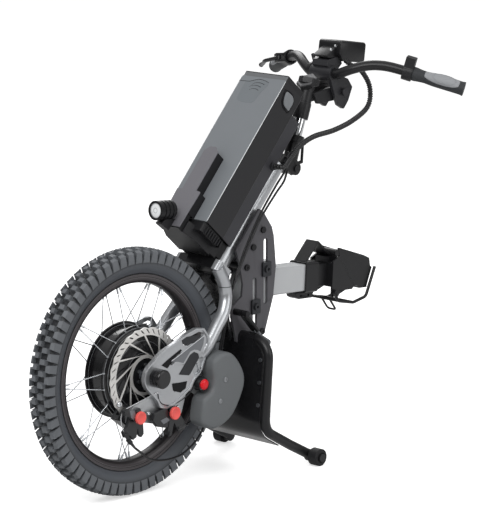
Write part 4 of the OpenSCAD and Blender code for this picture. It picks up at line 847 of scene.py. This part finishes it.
back_way, up_way = Vector((slope_rise, 0, -slope_run)), Vector((slope_run, 0, slope_rise))
case_plastic = coat("case plastic", "#7c8084", rough=0.42, grain=1200, depth=0.03, spec=0.25)
painted(case_plastic, beyond(case_plastic, (0, 1, 0), 0.0637, 0.0640, square=True), "#1d1d1f")
painted(case_plastic, past(case_plastic, back_way, mast(-147.6, 0, 0), mast(-147.2, 0, 0)),
    "#28282a")
dress("battery_case", case_plastic, 0.3)
cap_plastic = coat("cap plastic grey", "#6c6e70", rough=0.42, grain=1200, depth=0.04, spec=0.25)
painted(cap_plastic, beyond(cap_plastic, (0, 1, 0), 0.0625, 0.0632, square=True), "#222224")
painted(cap_plastic, past(cap_plastic, up_way, mast(0, 0, 420.4), mast(0, 0, 421.4)), "#222224")
dress("battery_cap", cap_plastic, 0.6)
leaf = [(-137, 392), (-127, 395.5), (-115, 395.8), (-106, 391), (-102.5, 382), (-102.8, 371),
    (-103.6, 363.5), (-112, 363), (-122, 364), (-130, 370), (-134.5, 379)]
leaf_line = looped(leaf, 4)
leaf_x, leaf_z = -118, 380
leaf_verts = [mast(leaf_x + (x - leaf_x) * s, y, leaf_z + (z - leaf_z) * s)
    for y, s in ((-66.8, 0.94), (-68.5, 0.94), (-69.2, 0.88), (-69.2, 0.5)) for x, z in leaf_line]
lock_leaf = piece_of(built("lock_leaf", leaf_verts, skin(4, len(leaf_line)), 30),
    coat("lock cover grey", "#7a7d80", rough=0.36), "lock")
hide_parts("lock_cover")
dish = looped([(44, 394), (44, 358), (38, 346), (16, 343), (-4, 345), (-10, 354), (-14, 372),
    (-22, 397), (3, 402), (24, 399)], 3)
dish_verts = [mast(x, y, z) for x in (-150.9, -151.25) for y, z in dish]
piece_of(built("finger_dish", dish_verts, slab_faces(len(dish)), 30), coat("dish plastic",
    "#757a7e", rough=0.44, grain=1200, depth=0.03, spec=0.25), "battery")
# painted highlights: thin bright tubes along the front edges of the case
edge_highlight = coat("painted edge highlight", "#dcdee0", rough=0.3, metal=0.3, grain=1800, depth=0.03)
groove_black = coat("groove shadow", "#3c3e40", rough=0.6, depth=0.04, spec=0.15)
for name, y in (("edge_highlight_left", -64.2), ("edge_highlight_right", 64.2)):
    run = [mast(-150.2, y, 46 + 36.2 * k) for k in range(11)]
    piece_of(swept(name, run, [0.0005] + [0.0008] * 9 + [0.0005], 10), edge_highlight, "battery")
for name, points, thick in (
        ("cap_line", [(64, 396), (50, 396.4), (35, 397), (24, 400.7), (14, 404.3), (3, 404.8),
            (-10, 402.6), (-21, 399.4)], 0.55),
        ("grip_line_a", [(22.7, 389.4), (15.3, 394.8), (2.6, 396.4), (-11.3, 393.4)], 0.7),
        ("grip_line_b", [(26.4, 383.6), (19.5, 387.4), (6.9, 388.6), (-6.1, 385.6)], 0.7),
        ("grip_line_c", [(22.5, 375.3), (16, 379.1), (6.2, 380), (-4, 377)], 0.7)):
    run = smoothed([mast(-151.2, y, z) for y, z in points], 8)
    radii = [thick / 1000 * (0.45 + 0.75 * (k / (len(run) - 1)) ** 1.5) for k in range(len(run))]
    piece_of(swept(name, run, radii if name != "cap_line" else thick / 1000, 10), groove_black,
        "battery")
cover_rim = [mast(leaf_x - 1 + (x - leaf_x + 1) * 1.16, -65.2, leaf_z + (z - leaf_z) * 1.16)
    for x, z in leaf]
piece_of(swept("lock_rim", smoothed(cover_rim + cover_rim[:1], 4), 0.0013, 10), pocket_black,
    "battery")

# ---------------------------------------------------------------- Head tube and plates
# The steerer turns in a silver head tube on two bearings. A black block clamps the
# tube between two slotted side plates with through bolts.

dress("head_tube", silver_coat, 0.5)
dress("head_bearings", coat("race steel", "#a6a9ad", rough=0.25, metal=1.0, grain=700))
dress("head_clamp", coat("clamp coat", "#29292b", grain=1500, depth=0.04), 0.8)
dress("side_plates", coat("plate coat", "#565559", rough=0.42, metal=0.15, grain=1500,
    depth=0.04), 0.6)
dress("plate_bolts", coat("black bolt", "#2a2a2c", rough=0.34, metal=0.6), 0.3)

# ---------------------------------------------------------------- Docking arm
# A pale box tube bolted between the plates, a black tube that slides in it, and two
# notched cheeks with a latch that close on the chair's cross bar.

dress("arm_tube", coat("pale satin coat", "#c2c4c6", rough=0.36, metal=0.35, grain=1500,
    depth=0.04), 0.6)
dress("arm_studs", coat("stud steel", "#3c3d40", rough=0.35, metal=0.7), 0.3)
satin_black = coat("satin black coat", "#1b1b1d", rough=0.34, grain=1500, depth=0.04,
    spec=0.35)
dress("arm_collar", satin_black, 0.8)
dress("dock_tube", satin_black, 0.6)
dress("dock_cheeks", satin_black, 0.6)
dress("latch_hoops", satin_black, 0.3)

# ---------------------------------------------------------------- Stand
# A bent black hoop with a curved gloss panel across its legs, whose upper edge is
# folded round the hinge tube. It has two rollers, and twin struts that telescope.

gloss_black = coat("gloss black", "#19191b", rough=0.24, grain=120, depth=0.01, spec=0.4)
dress("stand_hoop", satin_black, 0.4)
dress("stand_panel", gloss_black, 0.6)
hinge_x, hinge_z = 304, 294
wrap = []
for r in (12.7, 11.15):
    line = [(hinge_x - 0.0762 * s - 0.9971 * r, hinge_z - 0.9971 * s + 0.0762 * r)
        for s in (32, 24, 16, 8)]
    line += [(hinge_x + x, hinge_z + z) for x, z in (turn_at(r, a) for a in range(176, 52, -12))]
    wrap.append(line)
section = wrap[0] + wrap[1][::-1]
for name, low, high in (("panel_fold_left", -83.2, -38.4), ("panel_fold_gap", -38.4, -31.4),
        ("panel_fold_middle", -31.4, 31.4)):
    wrap_verts = [spot(x, y, z) for y in (low, high) for x, z in section]
    piece_of(built(name, wrap_verts, skin(2, len(section)), 30), gloss_black, "stand")
dress("stand_fittings", coat("fitting steel", "#6a6c70", rough=0.35, metal=0.8, grain=800), 0.4)
roller_rubber = coat("roller rubber", "#1c1c1e", rough=0.6, depth=0.05)
dress("roller_left", roller_rubber, 0.4)
dress("roller_right", roller_rubber, 0.4)
dress("strut_tubes", satin_black, 0.4)
dress("strut_rods", coat("strut rod", "#8f9296", rough=0.25, metal=1.0, grain=800), 0.2)

# ---------------------------------------------------------------- Post
# The column head pinches the steerer. A black tube leans back from its knuckle and
# holds a chrome post, set in height by a quick lever, under a stem with a six-sided cap.

dress("column_head", satin_black, 0.8)
dress("post_tube", satin_black, 0.6)
dress("post_inner", coat("chrome", "#dcdee0", rough=0.06, metal=1.0, tone=0.02, spread=0.02,
    grain=300, depth=0.004))
stem_coat = coat("stem coat", "#222224", rough=0.36, grain=1500, depth=0.04)
post_foot, post_way = spot(490.4, 0, 634.2), Vector((0.342, 0, 0.94))
painted(stem_coat, past(stem_coat, post_way, post_foot + post_way * 0.2,
    post_foot + post_way * 0.201), "#606062")
dress("stem", stem_coat, 0.8)


def six_sided(name, centre, way, radii, heights):
    """A six-sided cap on its own axis, from the radius at each height"""
    way = Vector(way).normalized()
    side = Vector((0, 1, 0))
    up = way.cross(side)
    verts = [centre + way * h / 1000 + (side * math.cos(math.pi * k / 3 + math.pi / 6)
        + up * math.sin(math.pi * k / 3 + math.pi / 6)) * r / 1000
        for r, h in zip(radii, heights) for k in range(6)]
    return built(name, verts, skin(len(radii), 6), 20)


stem_grey = coat("stem cap coat", "#606062", rough=0.42, grain=1100, depth=0.06, spec=0.25)
cap_at, cap_way = spot(551, 0, 817), (-0.5, 0, 0.866)
piece_of(six_sided("stem_cap_base", cap_at, cap_way, (22, 25.5, 25.5, 24.5), (-9, -6, 2, 3)),
    satin_black, "mast")
piece_of(six_sided("stem_cap", cap_at, cap_way, (23.4, 23.4, 22.6), (2.6, 4.6, 5.4)),
    stem_grey, "mast")
dress("height_lever", satin_black, 0.5)

# ---------------------------------------------------------------- Handlebar
# A bent black bar in a tilting clamp, with two rubber grips that have pale palm pads,
# a switch block with its red button, a thumb lever, a brake lever, and the display in
# its moulded shell on a bracket.

dress("bar_clamp", coat("clamp casting", "#2c2c2f", rough=0.36, depth=0.05, spec=0.4), 0.8)
dress("handlebar", satin_black)


def grip_skin(s, turn, tip, way, palm, over):
    """A point on the grip: s along it in mm from its end, turn round it from the palm"""
    bulge = math.exp(-((s - 42) / 26) ** 2)
    r = 14.6 + 1.2 * math.exp(-(s / 5) ** 2) + 1.0 * math.exp(-((s - 112) / 6) ** 2)
    r += (3.6 * bulge) * max(0, math.cos(turn)) ** 1.5 + over
    r -= 1.4 * math.exp(-((s - 88) / 12) ** 2)
    side = palm.cross(way)
    return tip - way * (s / 1000) + (palm * math.cos(turn) + side * math.sin(turn)) * (r / 1000)


grip_dark = coat("grip rubber", "#36383a", rough=0.6, grain=800, depth=0.12, spec=0.3)
palm_grey = coat("palm rubber", "#97999c", rough=0.55, grain=700, depth=0.08, spec=0.3)
for name, hand in (("left", -1), ("right", 1)):
    way = Vector((0.516, 0.813 * hand, -0.268)).normalized()
    tip = spot(748, 276 * hand, 808) + way * 0.004
    palm = Vector((-0.62, 0.46 * hand, 0.72))
    palm = (palm - way * palm.dot(way)).normalized()
    steps = [0, 0, 1, 3, 8, 16, 24, 32, 40, 48, 56, 64, 72, 80, 88, 96, 104, 110, 114, 118, 118]
    verts, n, end_share = [], 28, 0.86
    for i, s in enumerate(steps):
        for k in range(n):
            point = grip_skin(s, 2 * math.pi * k / n, tip, way, palm, 0)
            if i in (0, len(steps) - 1):
                point = (tip - way * (s / 1000)).lerp(point, end_share)
            verts.append(point)
    faces = [f[:1] + f[:0:-1] for f in skin(len(steps), n)]
    grip = piece_of(built("grip_" + name, verts, faces, 50), grip_dark, "bar")
    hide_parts("grips")
    verts, faces, rows, cols = [], [], 16, 14
    for i in range(rows + 1):
        for j in range(cols + 1):
            u, v = 2 * i / rows - 1, 2 * j / cols - 1
            reach = math.sqrt(max(0, 1 - abs(u) ** 2.6))
            rim = max(abs(u), abs(v))
            verts.append(grip_skin(51 + 44 * u, v * reach * 1.1, tip, way, palm,
                0.7 - 1.3 * rim ** 6))
    for i in range(rows):
        for j in range(cols):
            a = i * (cols + 1) + j
            faces.append((a, a + cols + 1, a + cols + 2, a + 1))
    piece_of(built("palm_pad_" + name, verts, faces, 60), palm_grey, "bar")
    oval = [grip_skin(46 + 26 * math.cos(a), 0.7 * math.sin(a), tip, way, palm, 0.9)
        for a in [math.pi * k / 24 for k in range(49)]]
    piece_of(swept("palm_ridge_" + name, oval, 0.0007, 8), palm_grey, "bar")
dress("switch_block", coat("switch plastic", "#222224", grain=1100, depth=0.05), 1.0)
dress("switch_button", button_red, 0.5)
dress("throttle_lever", satin_black, 0.5)
dress("brake_lever", satin_black, 0.4)
tilt_cos, tilt_sin = 0.99027, 0.13917


def tilted(u, y, v):
    """A place on the display, which leans back eight degrees"""
    return spot(664 + u * tilt_cos + v * tilt_sin, y, 873 - u * tilt_sin + v * tilt_cos)


def moulding(name, outline, half, round_off):
    """A moulded body from its side outline, with its half width and softened edges"""
    verts = [tilted(u, y, v) for y in (-half, half) for u, v in outline]
    return softened(built(name, verts, slab_faces(len(outline)), 0), round_off, 35)


display_black = coat("display plastic", "#19191b", rough=0.3, grain=1100, depth=0.04, spec=0.4)
screen_glass = coat("screen glass", "#0e0f12", rough=0.06, grain=200, depth=0.0, spec=0.5)
shell = piece_of(moulding("display_shell", [(-43, -6), (-43, 19), (-39, 23.9), (39, 23.9), (43, 19),
    (43, -16), (38, -21), (-28, -21), (-36, -14)], 32.8, 3.0), display_black, "bar")
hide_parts("display")
piece_of(moulding("display_screen", [(-34, 23.2), (-34, 24), (34, 24), (34, 23.2)], 25.5, 0.3),
    screen_glass, "bar")
bracket = [(-66, -16), (-72, -11), (-42, 10), (-34, 14), (-34, -14)]
piece_of(moulding("display_bracket", bracket, 20, 1.2), satin_black, "bar")
for name, u in (("bracket_screw_d", -60), ("bracket_screw_e", -46)):
    capped_screw(name, tilted(u, -19.6, 2.5 + (u + 60) * 0.62), (0, -1, 0), 0.0034, 0.0028,
        wire_steel, "bar")
